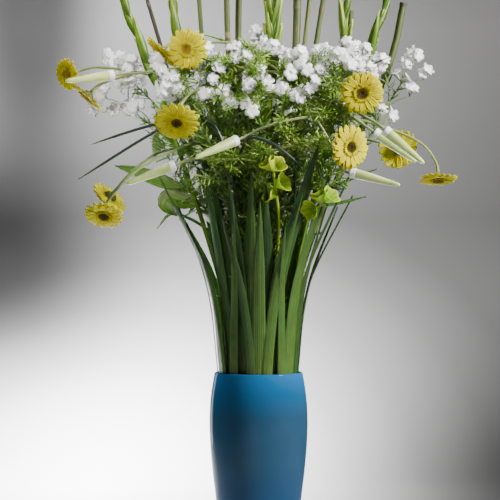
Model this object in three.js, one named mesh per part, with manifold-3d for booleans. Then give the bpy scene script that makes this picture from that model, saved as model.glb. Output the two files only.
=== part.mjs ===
// A tall arrangement of cut flowers in a blue cased-glass vase. Canes and budding gladiolus
// stand upright in the vase. Mini gerberas lie across the crown, each with its cut end in a
// capped water tube. White phlox, bells of Ireland and steel grass fill the crown between them.
// Millimetres, +Z up, seen from -Y. The origin is the middle of the vase's underside.
import * as THREE from "three";
import { mergeVertices } from "three/addons/utils/BufferGeometryUtils.js";
import Module from "manifold-3d";

const wasm = await Module();
wasm.setup();

// ---- driving dimensions, mm ----
const VASE_HEIGHT = 300;
const VASE_WALL = 4;
const VASE_FLOOR = 12; // top of the glass that the stems stand on
const VASE_OUTLINE = [ // radius, height
  [65, 0], [69, 22], [74.5, 76], [82, 140], [86, 205], [84, 255], [77, 300],
];
const FOOT_BEVEL = 3;
const LIP = 1.5; // depth of the rounded rim
const WATER_LEVEL = 205;
const GAP = 0.3; // air between two pieces that touch
const BUNDLE_FOOT = 0.78; // the bundle's radius at the vase's floor, against 1 at the rim
const BLOOM_DISC = 11; // radius of a gerbera's eye
const GERBERA_STEM = 2.4; // radius
const TUBE_LENGTH = 88;
const TUBE_CAP = 9.5; // radius
const TUBE_SOCKET = 22; // how deep a stem stands in its water tube
const FLORET = 13.5; // radius of a phlox flower

// ---- small tools ----
const v = (x, y, z) => new THREE.Vector3(x, y, z);
const mix = THREE.MathUtils.lerp;
const degrees = THREE.MathUtils.degToRad;

let seed = 7;
function random() {
  seed = (seed * 1664525 + 1013904223) % 4294967296;
  return seed / 4294967296;
}
const between = (low, high) => mix(low, high, random());

// A route of straight runs from point to point, each point at its own equal share of the way.
class Route extends THREE.Curve {
  constructor(points) {
    super();
    this.points = points;
  }
  getPoint(t) {
    const place = Math.min(Math.max(t, 0), 1) * (this.points.length - 1);
    const i = Math.min(Math.floor(place), this.points.length - 2);
    return this.points[i].clone().lerp(this.points[i + 1], place - i);
  }
  getUtoTmapping(u) {
    return u;
  }
}

function smooth(points, count) {
  return new THREE.CatmullRomCurve3(points, false, "centripetal").getSpacedPoints(count);
}

// A stem of even thickness along a list of points.
function stem(points, radius, sides) {
  const corners = [];
  for (let i = 0; i < sides; i++) {
    const angle = (i / sides) * 2 * Math.PI;
    corners.push(new THREE.Vector2(radius * Math.cos(angle), radius * Math.sin(angle)));
  }
  return new THREE.ExtrudeGeometry(new THREE.Shape(corners), {
    steps: points.length - 1,
    extrudePath: new Route(points),
    bevelEnabled: false,
  });
}

// Bends a straight geometry, built along Z from 0 to 1, onto a route: X goes across, Y to the face.
function bend(geometry, route, face) {
  const place = geometry.attributes.position;
  for (let i = 0; i < place.count; i++) {
    const t = place.getZ(i);
    const along = route.getTangent(t);
    const across = face.clone().cross(along).normalize();
    const out = along.clone().cross(across).normalize();
    const p = route.getPoint(t).addScaledVector(across, place.getX(i));
    p.addScaledVector(out, place.getY(i));
    place.setXYZ(i, p.x, p.y, p.z);
  }
  return geometry;
}

// A thin leaf along a route. widths are spread evenly from base to tip, and fold lifts its midrib.
function blade(points, face, widths, thickness, fold) {
  const steps = points.length - 1;
  const box = new THREE.BoxGeometry(1, thickness, 1, fold ? 2 : 1, 1, steps).translate(0, 0, 0.5);
  const place = box.attributes.position;
  for (let i = 0; i < place.count; i++) {
    const spot = place.getZ(i) * (widths.length - 1);
    const k = Math.min(Math.floor(spot), widths.length - 2);
    const half = mix(widths[k], widths[k + 1], spot - k);
    const lift = (0.5 - Math.abs(place.getX(i))) * fold * half;
    place.setXYZ(i, place.getX(i) * half, place.getY(i) + lift, place.getZ(i));
  }
  return bend(box, new Route(points), face);
}

// A round piece on an axis: profile is radius and height, standing on base and pointing along axis.
function turned(profile, segments, base, axis) {
  const outline = profile.map(([radius, height]) => new THREE.Vector2(radius, height));
  const piece = new THREE.LatheGeometry(outline, segments);
  piece.applyQuaternion(new THREE.Quaternion().setFromUnitVectors(v(0, 1, 0), axis.clone().normalize()));
  return piece.translate(base.x, base.y, base.z);
}

// A closed geometry as a solid that joins to others.
function solid(geometry) {
  const plain = geometry.clone();
  plain.deleteAttribute("normal");
  plain.deleteAttribute("uv");
  const merged = mergeVertices(plain, 1e-4);
  const corners = merged.index.array;
  const kept = [];
  for (let i = 0; i < corners.length; i += 3) {
    const [a, b, c] = corners.slice(i, i + 3);
    if (a !== b && b !== c && c !== a) kept.push(a, b, c);
  }
  return new wasm.Manifold(
    new wasm.Mesh({
      numProp: 3,
      vertProperties: Float32Array.from(merged.attributes.position.array),
      triVerts: Uint32Array.from(kept),
    }),
  );
}

function fuse(geometries) {
  const body = wasm.Manifold.union(geometries.map(solid));
  const mesh = body.getMesh();
  const fused = new THREE.BufferGeometry();
  fused.setAttribute("position", new THREE.BufferAttribute(Float32Array.from(mesh.vertProperties), 3));
  fused.setIndex(new THREE.BufferAttribute(Uint32Array.from(mesh.triVerts), 1));
  return fused;
}

// ---- room: every piece leaves a record of the space it takes, as capsules. A stem's record also
// has its rod, the radius of the solid itself, which other stems can rest on. ----
const taken = [];
function take(owner, points, radius, rod = 0) {
  for (let i = 0; i + 1 < points.length; i++) {
    taken.push({ owner, a: points[i], b: points[i + 1], radius, rod });
  }
}

// The nearest points of two straight runs: their shares of the way and the vector between them.
function nearest(a, b, c, d) {
  const u = b.clone().sub(a);
  const w = d.clone().sub(c);
  const r = a.clone().sub(c);
  const uu = u.dot(u);
  const ww = w.dot(w);
  const uw = u.dot(w);
  const wr = w.dot(r);
  const ur = u.dot(r);
  const clamp = (x) => Math.min(Math.max(x, 0), 1);
  const skew = uu * ww - uw * uw;
  let s = skew > 1e-9 ? clamp((uw * wr - ur * ww) / skew) : 0;
  const t = ww > 0 ? clamp((uw * s + wr) / ww) : 0;
  s = uu > 0 ? clamp((uw * t - ur) / uu) : 0;
  const apart = r.addScaledVector(u, s).addScaledVector(w, -t);
  return { s, t, apart, distance: apart.length() };
}

// Whether the boxes round a straight run and a capsule come within room of each other.
function reaches(a, b, capsule, room) {
  for (const axis of ["x", "y", "z"]) {
    if (Math.max(a[axis], b[axis]) + room < Math.min(capsule.a[axis], capsule.b[axis])) return false;
    if (Math.min(a[axis], b[axis]) - room > Math.max(capsule.a[axis], capsule.b[axis])) return false;
  }
  return true;
}

// Whether a line of this radius keeps clear of every record but its owner's.
function isClear(owner, points, radius) {
  for (let i = 0; i + 1 < points.length; i++) {
    for (const other of taken) {
      const room = radius + other.radius + 2 * GAP;
      if (other.owner === owner || !reaches(points[i], points[i + 1], other, room)) continue;
      if (nearest(points[i], points[i + 1], other.a, other.b).distance < room) return false;
    }
  }
  return true;
}

// Bends a route clear of all that is in its way. The first and last held points stay where they are.
// Each round shares out the route's shifts a little, then pushes it off what it touches; the last only push.
const ROUNDS = 160;
const RELAXING_ROUNDS = 120;
const RELAX = 0.12;
const STRAIGHTEN = 0.2; // share of the relaxing that straightens the route
function bendClear(owner, points, radius, heldAtStart, heldAtEnd) {
  const route = points.map((p) => p.clone());
  const free = (i) => i >= heldAtStart && i < route.length - heldAtEnd;
  for (let round = 0; round < ROUNDS; round++) {
    if (round < RELAXING_ROUNDS) {
      for (let i = 1; i + 1 < route.length; i++) {
        if (!free(i)) continue;
        const shift = (k) => route[k].clone().sub(points[k]);
        const shared = shift(i - 1).add(shift(i + 1)).multiplyScalar(0.5);
        const kept = points[i].clone().add(shared);
        const straight = route[i - 1].clone().add(route[i + 1]).multiplyScalar(0.5);
        route[i].lerp(kept.lerp(straight, STRAIGHTEN), RELAX);
      }
    }
    for (let i = 0; i + 1 < route.length; i++) {
      for (const other of taken) {
        const room = radius + other.radius + GAP;
        if (other.owner === owner || !reaches(route[i], route[i + 1], other, room)) continue;
        const { s, apart, distance } = nearest(route[i], route[i + 1], other.a, other.b);
        if (distance >= room) continue;
        const push = distance > 1e-6 ? apart.multiplyScalar((room - distance) / distance) : v(0, -room, 0);
        const share = (1 - s) ** 2 + s ** 2;
        if (free(i)) route[i].addScaledVector(push, (1 - s) / share);
        if (free(i + 1)) route[i + 1].addScaledVector(push, s / share);
      }
    }
  }
  return route;
}

// Lays a route against the rod that it passes closest, so that the stem rests there.
const FACETED = 0.95; // a faceted rod's mean radius against that of its corners
const BOW = 4; // points on each side that share the shift
function settle(owner, route, radius) {
  let best = { clearance: Infinity };
  for (let i = 2; i + 3 < route.length; i++) {
    for (const other of taken) {
      if (other.owner === owner || !other.rod) continue;
      const { s, apart, distance } = nearest(route[i], route[i + 1], other.a, other.b);
      const clearance = distance - FACETED * (radius + other.rod) - GAP;
      if (clearance < best.clearance) best = { clearance, spot: i + s, apart: apart.divideScalar(distance) };
    }
  }
  return route.map((p, i) => {
    const held = i < 2 || i + 2 >= route.length;
    const share = held ? 0 : Math.min(1, Math.max(0, 1 - (Math.abs(i - best.spot) - 1) / BOW));
    return p.clone().addScaledVector(best.apart, -best.clearance * share);
  });
}

// ---- the arrangement's scene graph ----
const arrangement = new THREE.Group();
function add(name, geometry, material) {
  const mesh = new THREE.Mesh(geometry, material);
  mesh.name = name;
  arrangement.add(mesh);
}
const matte = (color, roughness) => new THREE.MeshStandardMaterial({ color, roughness, metalness: 0 });

// ---- vase and water ----
const vaseCurve = new THREE.SplineCurve(VASE_OUTLINE.map(([radius, z]) => new THREE.Vector2(radius, z)));
const outside = vaseCurve.getPoints(6); // radius, height
outside.at(-1).y = VASE_HEIGHT;
function vaseRadius(z) {
  const k = outside.findIndex((p) => p.y >= z);
  if (k < 1) return outside[0].x;
  const low = outside[k - 1];
  return mix(low.x, outside[k].x, (z - low.y) / (outside[k].y - low.y));
}
const RIM = vaseRadius(VASE_HEIGHT);
const wallFoot = [vaseRadius(VASE_FLOOR) - VASE_WALL - FOOT_BEVEL, VASE_FLOOR];
const wallHeights = outside.map((p) => p.y).filter((z) => z > VASE_FLOOR + VASE_WALL && z < VASE_HEIGHT);
const innerWall = [wallFoot, ...wallHeights.map((z) => [vaseRadius(z) - VASE_WALL, z])];
const vaseProfile = [
  [0, 0],
  [outside[0].x - FOOT_BEVEL, 0],
  ...outside.slice(0, -1).map((p) => [p.x, Math.max(p.y, FOOT_BEVEL)]),
  [RIM, VASE_HEIGHT - LIP],
  [RIM - VASE_WALL / 2, VASE_HEIGHT],
  [RIM - VASE_WALL, VASE_HEIGHT - LIP],
  ...innerWall.toReversed(),
  [0, VASE_FLOOR],
];
const ORIGIN = v(0, 0, 0);
const UP = v(0, 0, 1);
add("vase", turned(vaseProfile, 22, ORIGIN, UP), matte(0x1f6f9f, 0.08));

// The water stands round the whole bundle, in one plain hole that widens upwards.
const HOLE_FOOT = 56;
const HOLE_TOP = 70;
const WATER_INSET = 1;
const wetWall = innerWall.filter(([, z]) => z < WATER_LEVEL);
const waterProfile = [
  [HOLE_FOOT, VASE_FLOOR + GAP],
  ...wetWall.map(([radius, z]) => [radius - WATER_INSET, z + GAP]),
  [vaseRadius(WATER_LEVEL) - VASE_WALL - WATER_INSET, WATER_LEVEL],
  [HOLE_TOP, WATER_LEVEL],
  [HOLE_FOOT, VASE_FLOOR + GAP],
];
add("water", turned(waterProfile, 16, ORIGIN, UP), matte(0xbcd8dc, 0.02));

// How far the bundle has spread at a height, against 1 at the rim. Above the rim it widens slowly
// at first, then turns outwards round FLARE_HEIGHT.
const RISE = 0.001;
const FLARE = 0.204;
const FLARE_HEIGHT = 450;
const FLARE_TURN = 60; // height over which it turns outwards
const softStep = (z) => Math.log1p(Math.exp((z - FLARE_HEIGHT) / FLARE_TURN));
function spread(z) {
  if (z < VASE_HEIGHT) return mix(BUNDLE_FOOT, 1, (z - VASE_FLOOR) / (VASE_HEIGHT - VASE_FLOOR));
  return 1 + RISE * (z - VASE_HEIGHT) + FLARE * (softStep(z) - softStep(VASE_HEIGHT));
}

// A stem's points from the vase's floor to where it leaves the bundle, from its place at the rim.
const FOOT = VASE_FLOOR + 0.5;
const TRUNK_HEIGHTS = [FOOT, 150, VASE_HEIGHT, 375, 450];
const trunk = (x, y, heights) => heights.map((z) => v(x * spread(z), y * spread(z), z));

// ---- canes: place at the rim, then at two heights in the crown, top and radius ----
const LOW_MARK = 846;
const HIGH_MARK = 951;
const CANES = [
  { rim: [-38, 12], low: [-164, 5], high: [-195, 8], top: 1030, radius: 3.5, joints: [944] },
  { rim: [-24, -8], low: [-95, -12], high: [-102, -14], top: 1085, radius: 4, joints: [] },
  { rim: [-14, -28], low: [-52, -50], high: [-54, -54], top: 1125, radius: 5, joints: [884] },
  { rim: [-6, -6], low: [-35, -8], high: [-33, -9], top: 1095, radius: 5.8, joints: [880] },
  { rim: [12, 10], low: [65, 45], high: [67, 50], top: 1060, radius: 7.2, joints: [945] },
  { rim: [14, 30], low: [78, 88], high: [90, 98], top: 1100, radius: 4.2, joints: [] },
  { rim: [30, 6], low: [97, 35], high: [114, 38], top: 1050, radius: 4.7, joints: [938] },
  { rim: [32, 24], low: [155, 72], high: [167, 80], top: 943, radius: 5.2, joints: [] },
  { rim: [45, -2], low: [232, 15], high: [256, 20], top: 949, radius: 6.3, joints: [] },
];

// The points of an upright stem: it keeps its place in the bundle and leans out to its mark.
function upright({ rim, low, high, top }, count) {
  const rise = (top - LOW_MARK) / (HIGH_MARK - LOW_MARK);
  const end = v(mix(low[0], high[0], rise), mix(low[1], high[1], rise), top);
  const points = [...trunk(rim[0], rim[1], TRUNK_HEIGHTS), v(low[0], low[1], LOW_MARK), end];
  return smooth(points, count);
}

const offHeight = (p, z) => Math.abs(p.z - z);
const atHeight = (points, z) => points.reduce((best, p) => (offHeight(p, z) < offHeight(best, z) ? p : best));

const caneGreen = matte(0x6f7040, 0.6);
const JOINT_LIFT = 0.9; // how far a joint stands out of its cane
const JOINT_HALF = 5;
CANES.forEach((cane, i) => {
  const name = "cane_" + (i + 1);
  const rings = upright(cane, 6).map((p) => ({ p, radius: cane.radius }));
  const fine = upright(cane, 600);
  const ring = (z, radius) => rings.push({ p: atHeight(fine, z), radius });
  for (const z of cane.joints) {
    ring(z - JOINT_HALF, cane.radius);
    ring(z, cane.radius + JOINT_LIFT);
    ring(z + JOINT_HALF, cane.radius);
  }
  rings.sort((first, second) => first.p.z - second.p.z);
  const points = rings.map(({ p }) => p);
  const rod = new THREE.CylinderGeometry(1, 1, 1, 6, points.length - 1);
  rod.rotateX(Math.PI / 2).translate(0, 0, 0.5);
  const place = rod.attributes.position;
  for (let k = 0; k < place.count; k++) {
    const { radius } = rings[Math.round(place.getZ(k) * (rings.length - 1))];
    place.setXYZ(k, place.getX(k) * radius, place.getY(k) * radius, place.getZ(k));
  }
  take(name, points, cane.radius + (cane.joints.length ? JOINT_LIFT : 0), cane.radius);
  add(name, bend(rod, new Route(points), v(0, -1, 0)), caneGreen);
});

// ---- gladiolus in bud: a stem, sword leaves round the bundle and a spike of sheathed buds ----
const STEM_RING = 54; // radius of the stems' ring at the rim, then of the two layers of leaves
const INNER_LEAVES = 62;
const OUTER_LEAVES = 68.5;
const leafMark = (angle, tip, width, layer) => ({ angle, tip, width, layer });
const GLADIOLI = [
  {
    angle: -90, low: [24, -64], high: [25, -72], top: 1130, radius: 4, budsFrom: 845,
    leaves: [
      leafMark(-113, [-52, -112, 640], 23, INNER_LEAVES),
      leafMark(-90, [2, -118, 600], 24, OUTER_LEAVES),
      leafMark(-66, [104, -118, 704], 28, INNER_LEAVES),
    ],
  },
  {
    angle: -30, low: [146, -25], high: [151, -30], top: 1110, radius: 3.8, budsFrom: 870,
    leaves: [
      leafMark(-42, [118, -96, 640], 26, OUTER_LEAVES),
      leafMark(-18, [164, -60, 662], 24, INNER_LEAVES),
    ],
  },
  {
    angle: 20, low: [192, 60], high: [226, 70], top: 1070, radius: 3.8, budsFrom: 860,
    leaves: [
      leafMark(6, [165, 25, 610], 24, OUTER_LEAVES),
      leafMark(30, [140, 85, 650], 24, INNER_LEAVES),
      leafMark(54, [100, 120, 610], 26, OUTER_LEAVES),
    ],
  },
  {
    angle: 126, low: [-136, 46], high: [-152, 52], top: 1080, radius: 3.8, budsFrom: 865,
    leaves: [
      leafMark(78, [40, 140, 655], 26, INNER_LEAVES),
      leafMark(102, [-35, 140, 625], 26, OUTER_LEAVES),
      leafMark(126, [-95, 120, 650], 24, INNER_LEAVES),
      leafMark(150, [-150, 80, 600], 24, OUTER_LEAVES),
    ],
  },
  {
    angle: 198, low: [-195, -20], high: [-236, -24], top: 1060, radius: 4, budsFrom: 840,
    leaves: [
      leafMark(174, [-168, 5, 640], 24, INNER_LEAVES),
      leafMark(198, [-170, -62, 642], 26, OUTER_LEAVES),
      leafMark(220, [-96, -104, 668], 23, INNER_LEAVES),
    ],
  },
];
const LEAF_STEPS = 5;
const LEAF_THICKNESS = 1;
const LEAF_FOLD = 0.16; // lift of the midrib, as a share of the leaf's width
const LEAF_FOOT = 24;
const LEAF_HEIGHTS = [120, 230, 330, 450]; // where a leaf keeps its place in the bundle
const LEAF_ROOM = 2.4;

function swordLeaf(mark, foot) {
  const angle = degrees(mark.angle);
  const face = v(Math.cos(angle), Math.sin(angle), 0);
  const ring = trunk(mark.layer * face.x, mark.layer * face.y, LEAF_HEIGHTS);
  const points = smooth([foot, ...ring, v(...mark.tip)], LEAF_STEPS);
  const widths = [7, 16, mark.width, mark.width, mark.width * 0.85, 2.5];
  return { points, face, widths };
}

// The room that a leaf takes, as five lines from base to tip set side by side across it.
function takeLeaf(owner, { points, face, widths }) {
  const route = new Route(points);
  for (let lane = -2; lane <= 2; lane++) {
    const line = points.map((p, i) => {
      const t = i / (points.length - 1);
      const spot = t * (widths.length - 1);
      const k = Math.min(Math.floor(spot), widths.length - 2);
      const across = face.clone().cross(route.getTangent(t)).normalize();
      return p.clone().addScaledVector(across, lane * 0.21 * mix(widths[k], widths[k + 1], spot - k));
    });
    take(owner, line, LEAF_ROOM);
  }
}

const bladeGreen = matte(0x4c6f2e, 0.5);
const BUD_SPACING = 43;
const BUD_RADIUS = 5.6;
const BUD_HALF = 40;
const BUD_LEAN = 0.17;
const BUD_OFFSET = 4.2; // from the stem's middle to the bud's
GLADIOLI.forEach((plant, i) => {
  const name = "gladiolus_" + (i + 1);
  const angle = degrees(plant.angle);
  const rim = [STEM_RING * Math.cos(angle), STEM_RING * Math.sin(angle)];
  const points = upright({ ...plant, rim }, 10);
  const pieces = [stem(points, plant.radius, 5)];
  take(name, points, plant.radius, plant.radius);
  for (const mark of plant.leaves) {
    const foot = v(rim[0] * BUNDLE_FOOT, rim[1] * BUNDLE_FOOT, LEAF_FOOT);
    const leaf = swordLeaf(mark, foot);
    pieces.push(blade(leaf.points, leaf.face, leaf.widths, LEAF_THICKNESS, LEAF_FOLD));
    takeLeaf(name, leaf);
  }
  const start = atHeight(points, plant.budsFrom);
  const lean = points.at(-1).clone().sub(start).normalize();
  const buds = Math.floor((plant.top - plant.budsFrom) / BUD_SPACING) + 1;
  for (let k = 0; k < buds; k++) {
    const size = mix(1, 0.6, k / buds);
    const side = k % 2 ? 1 : -1;
    const tilt = v(side * Math.cos(0.5 * i), Math.sin(0.5 * i) * side, 0);
    const bud = new THREE.OctahedronGeometry(size).scale(BUD_RADIUS, BUD_RADIUS, BUD_HALF);
    const axis = lean.clone().addScaledVector(tilt, BUD_LEAN).normalize();
    bud.applyQuaternion(new THREE.Quaternion().setFromUnitVectors(UP, axis));
    const at = start.clone().addScaledVector(lean, k * BUD_SPACING).addScaledVector(tilt, BUD_OFFSET * size);
    pieces.push(bud.translate(at.x, at.y, at.z));
    const half = axis.clone().multiplyScalar(0.9 * BUD_HALF * size);
    take(name, [at.clone().sub(half), at, at.clone().add(half)], 0.82 * BUD_RADIUS * size);
  }
  add(name, fuse(pieces), bladeGreen);
});

// ---- gerberas: bloom centre and facing, the stem's way across the crown, and its water tube ----
const GERBERAS = [
  { at: [-121, -108, 854], face: [-0.3, -0.94, -0.18], radius: 37.5,
    way: [[-112, -70, 884], [-84, -62, 893], [-56, -40, 878], [-8, -36, 851], [71, -60, 802],
      [116, -80, 776]],
    cap: [212, -120, 716], tip: [281, -130, 656] },
  { at: [-166, -66, 853], face: [-0.68, -0.15, -0.7], radius: 38,
    way: [[-140, -66, 872], [-109, -66, 868], [-58, -66, 877], [-20, -72, 865], [6, -76, 842],
      [60, -74, 806], [120, -80, 766]],
    cap: [196, -92, 714], tip: [262, -95, 667] },
  { at: [-332, -34, 818], face: [-0.7, -0.68, -0.2], radius: 30,
    way: [[-306, -26, 827], [-284, -30, 832], [-240, -30, 829], [-176, 6, 820], [-100, 70, 812]],
    cap: [-30, 100, 812], tip: [50, 118, 785] },
  { at: [-294, -66, 777], face: [-0.67, -0.1, -0.74], radius: 37,
    way: [[-277, -50, 796], [-256, -45, 808], [-205, -30, 820], [-120, 25, 838], [-45, 80, 850]],
    cap: [30, 104, 850], tip: [105, 124, 815] },
  { at: [-138, -130, 729], face: [-0.05, -0.72, -0.69], radius: 41,
    way: [[-132, -108, 775], [-110, -110, 795], [-81, -110, 801], [2, -112, 790], [70, -130, 770],
      [100, -138, 740], [118, -120, 705]],
    cap: [155, -110, 645], tip: [234, -130, 623] },
  { at: [-255, -70, 604], face: [-0.6, 0.35, -0.7], radius: 36,
    way: [[-236, -76, 628], [-195, -60, 672], [-161, -30, 690], [-100, 30, 705], [-40, 80, 710]],
    cap: [20, 96, 702], tip: [95, 116, 668] },
  { at: [-261, -120, 572], face: [-0.1, -0.6, -0.8], radius: 35.5,
    way: [[-250, -120, 606], [-225, -112, 638], [-180, -90, 672], [-120, -40, 700], [-60, 30, 735],
      [0, 80, 748]],
    cap: [50, 104, 748], tip: [125, 122, 716] },
  { at: [174, -120, 778], face: [0.1, -0.97, -0.2], radius: 39,
    way: [[160, -92, 792], [100, -95, 815], [20, -105, 822], [-60, -100, 830], [-150, -75, 822]],
    cap: [-249, -70, 813], tip: [-323, -105, 800] },
  { at: [153, -140, 686], face: [0.55, -0.82, -0.1], radius: 40,
    way: [[125, -112, 692], [60, -118, 690], [-10, -104, 672], [-60, -118, 664], [-105, -118, 670]],
    cap: [-142, -112, 657], tip: [-220, -125, 626] },
  { at: [241, -40, 688], face: [0.3, 0.92, -0.2], radius: 37,
    way: [[226, -60, 694], [190, -50, 704], [130, -10, 722], [60, 50, 735]],
    cap: [-20, 96, 745], tip: [-95, 114, 718] },
  { at: [309, -50, 636], face: [0.02, -0.25, -0.97], radius: 34,
    way: [[303, -48, 668], [278, -50, 697], [240, -60, 716], [190, -65, 735], [120, -90, 742],
      [60, -115, 738], [5, -120, 722]],
    cap: [-37, -120, 699], tip: [-103, -163, 668] },
];
const PETALS = 10;
const PETAL_WIDTHS = [3.2, 14.6, 8];
const PETAL_THICKNESS = 0.8;
const PETAL_ROOT = 8.5;
const PETAL_ROOM = 4.6;
const CALYX_DEPTH = 9;
const EYE_ROOM = 6;

// A bloom's eye on its calyx, with its petals in two layers. The lines show where the petals lie.
function bloomPieces(centre, face, radius) {
  const turn = new THREE.Quaternion().setFromUnitVectors(v(0, 1, 0), face);
  const disc = [[0, -CALYX_DEPTH], [3.4, -CALYX_DEPTH], [BLOOM_DISC, 0], [7.5, 3.6], [0, 2.6]];
  const pieces = [turned(disc, PETALS, centre, face)];
  const lines = [];
  for (let k = 0; k < PETALS; k++) {
    const angle = ((k + 0.5) / PETALS) * 2 * Math.PI;
    const upper = k % 2;
    const reach = radius * (upper ? 0.93 : 1) * between(0.95, 1);
    const ray = (r, h) => v(r * Math.sin(angle), h, r * Math.cos(angle)).applyQuaternion(turn).add(centre);
    const heights = upper ? [0.9, 6, 6.4] : [-0.9, 1.6, 0.6]; // over the eye's edge, from root to tip
    const points = [PETAL_ROOT, reach * 0.66, reach].map((r, j) => ray(r, heights[j]));
    pieces.push(blade(points, face, PETAL_WIDTHS, PETAL_THICKNESS, 0));
    lines.push(points);
  }
  return { pieces, lines };
}

const petalYellow = matte(0xe6d33a, 0.55);
const stemGreen = matte(0x8c9a55, 0.55);
const tubePlastic = matte(0xdfe6cf, 0.3);

// First every bloom and water tube takes its room, then the stems find their way between them.
const blooms = GERBERAS.map((flower, i) => {
  const name = "gerbera_bloom_" + (i + 1);
  const centre = v(...flower.at);
  const face = v(...flower.face).normalize();
  const { pieces, lines } = bloomPieces(centre, face, flower.radius);
  lines.forEach((line) => take(name, line, PETAL_ROOM));
  take(name, [centre, centre.clone().addScaledVector(face, EYE_ROOM - CALYX_DEPTH)], EYE_ROOM);
  add(name, fuse(pieces), petalYellow);
  return { centre, face };
});

const CAP_LENGTH = 21;
const socketRadius = GERBERA_STEM + 1.2;
const waterTubes = GERBERAS.map((flower, i) => {
  const name = "water_tube_" + (i + 1);
  const mouth = v(...flower.cap);
  const axis = v(...flower.tip).sub(mouth).normalize();
  const profile = [
    [0, TUBE_SOCKET + GAP], [socketRadius, TUBE_SOCKET + GAP], [socketRadius, 0], [TUBE_CAP, 0.6],
    [TUBE_CAP - 1, CAP_LENGTH], [3.6, TUBE_LENGTH - 3], [0, TUBE_LENGTH],
  ];
  const middle = [TUBE_CAP, TUBE_LENGTH - 4].map((along) => mouth.clone().addScaledVector(axis, along));
  take(name, middle, TUBE_CAP);
  add(name, turned(profile, 8, mouth, axis), tubePlastic);
  return { mouth, axis };
});

const STEM_STEPS = 10;
const STRAIGHT = 14; // of a stem, behind its bloom and before its tube
GERBERAS.forEach((flower, i) => {
  const name = "gerbera_stem_" + (i + 1);
  const { centre, face } = blooms[i];
  const { mouth, axis } = waterTubes[i];
  const neck = centre.clone().addScaledVector(face, -CALYX_DEPTH - GAP);
  const bow = neck.clone().addScaledVector(face, -STRAIGHT);
  const entry = mouth.clone().addScaledVector(axis, -STRAIGHT);
  const socket = mouth.clone().addScaledVector(axis, TUBE_SOCKET);
  const loose = smooth([bow, ...flower.way.map((p) => v(...p)), entry], STEM_STEPS);
  const ends = ["gerbera_bloom_" + (i + 1), "water_tube_" + (i + 1)];
  taken.filter((room) => ends.includes(room.owner)).forEach((room) => (room.owner = name));
  const clear = bendClear(name, [neck, ...loose, socket], GERBERA_STEM, 2, 2);
  const points = settle(name, clear, GERBERA_STEM);
  take(name, points, GERBERA_STEM, GERBERA_STEM);
  add(name, stem(points, GERBERA_STEM, 5), stemGreen);
});

// ---- bells of Ireland: one forked stem with lime cups ----
const bellLime = matte(0xa9c437, 0.55);
const BELLS = "bells_of_ireland";
const BELL_STEM = 2.6;
const BELL_FORK = 2.2;
const bellWay = smooth([...trunk(20, -38, TRUNK_HEIGHTS), v(38, -74, 560), v(24, -118, 648)], 14);
const bellTrunk = bendClear(BELLS, bellWay, BELL_STEM, 8, 0);
const forkWay = smooth([bellTrunk[11], v(66, -66, 566), v(96, -84, 582), v(112, -108, 596)], 5);
const bellFork = bendClear(BELLS, forkWay, BELL_FORK, 1, 0);
const bellPieces = [stem(bellTrunk, BELL_STEM, 6), stem(bellFork, BELL_FORK, 5)];
take(BELLS, bellTrunk, BELL_STEM, BELL_STEM);
take(BELLS, bellFork, BELL_FORK, BELL_FORK);
const BELL_CUP = [[0, -2], [8, 4], [14, 15], [12.4, 15.6], [0, 2]]; // radius, height over its root
const BELL_DEPTH = 17;
function bell(at, axis) {
  const tip = at.clone().addScaledVector(axis, BELL_DEPTH);
  if (!isClear(BELLS, [at.clone().lerp(tip, 0.5), tip], 9)) return;
  bellPieces.push(turned(BELL_CUP, 7, at, axis));
  take(BELLS, [at, tip], 10);
}
const BELL_PLACES = [
  [bellTrunk, 13, [-0.9, -0.4, 0.2]], [bellTrunk, 14, [0.4, -0.7, 0.6]], [bellFork, 4, [-0.6, -0.7, -0.2]],
  [bellFork, 5, [0.6, -0.5, 0.6]], [bellTrunk, 14, [-0.6, -0.3, 0.8]],
];
for (const [points, k, axis] of BELL_PLACES) bell(points[k], v(...axis).normalize());
add(BELLS, fuse(bellPieces), bellLime);

// ---- steel grass: dark square blades from one tuft, bowed over the crown ----
const GRASS = "steel_grass";
const TUFT = 2.3;
const GRASS_BLADE = 2.3;
const GRASS_TIP = 0.8;
const tuftWay = smooth([...trunk(-30, -30, TRUNK_HEIGHTS), v(-42, -80, 640)], 12);
const grassTrunk = bendClear(GRASS, tuftWay, TUFT, 8, 0);
take(GRASS, grassTrunk, TUFT);
const grassTop = grassTrunk.at(-1);
const grassPieces = [stem(grassTrunk, TUFT, 4)];
const GRASS_WAYS = [
  [[-70, -86, 745], [-105, -86, 772], [-172, -94, 730], [-304, -130, 632]],
  [[-60, -80, 720], [-100, -76, 756], [-160, -84, 742], [-283, -112, 692]],
  [[-20, -130, 715], [20, -138, 700], [75, -128, 652]],
  [[40, -60, 780], [150, -62, 818], [226, -52, 846]],
];
for (const way of GRASS_WAYS) {
  const points = bendClear(GRASS, smooth([grassTop, ...way.map((p) => v(...p))], 7), GRASS_BLADE, 1, 0);
  const taper = new THREE.CylinderGeometry(GRASS_TIP, GRASS_BLADE, 1, 3, 7);
  taper.rotateX(Math.PI / 2).translate(0, 0, 0.5);
  grassPieces.push(bend(taper, new Route(points), v(0, -1, 0.2)));
  take(GRASS, points, GRASS_BLADE);
}
add(GRASS, fuse(grassPieces), matte(0x1d2a1c, 0.4));

// ---- phlox: forked green stems with paired leaves, bud needles and loose florets, and white heads ----
const phloxWhite = matte(0xf1eef2, 0.6);
const phloxGreen = matte(0x55782f, 0.55);

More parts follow.
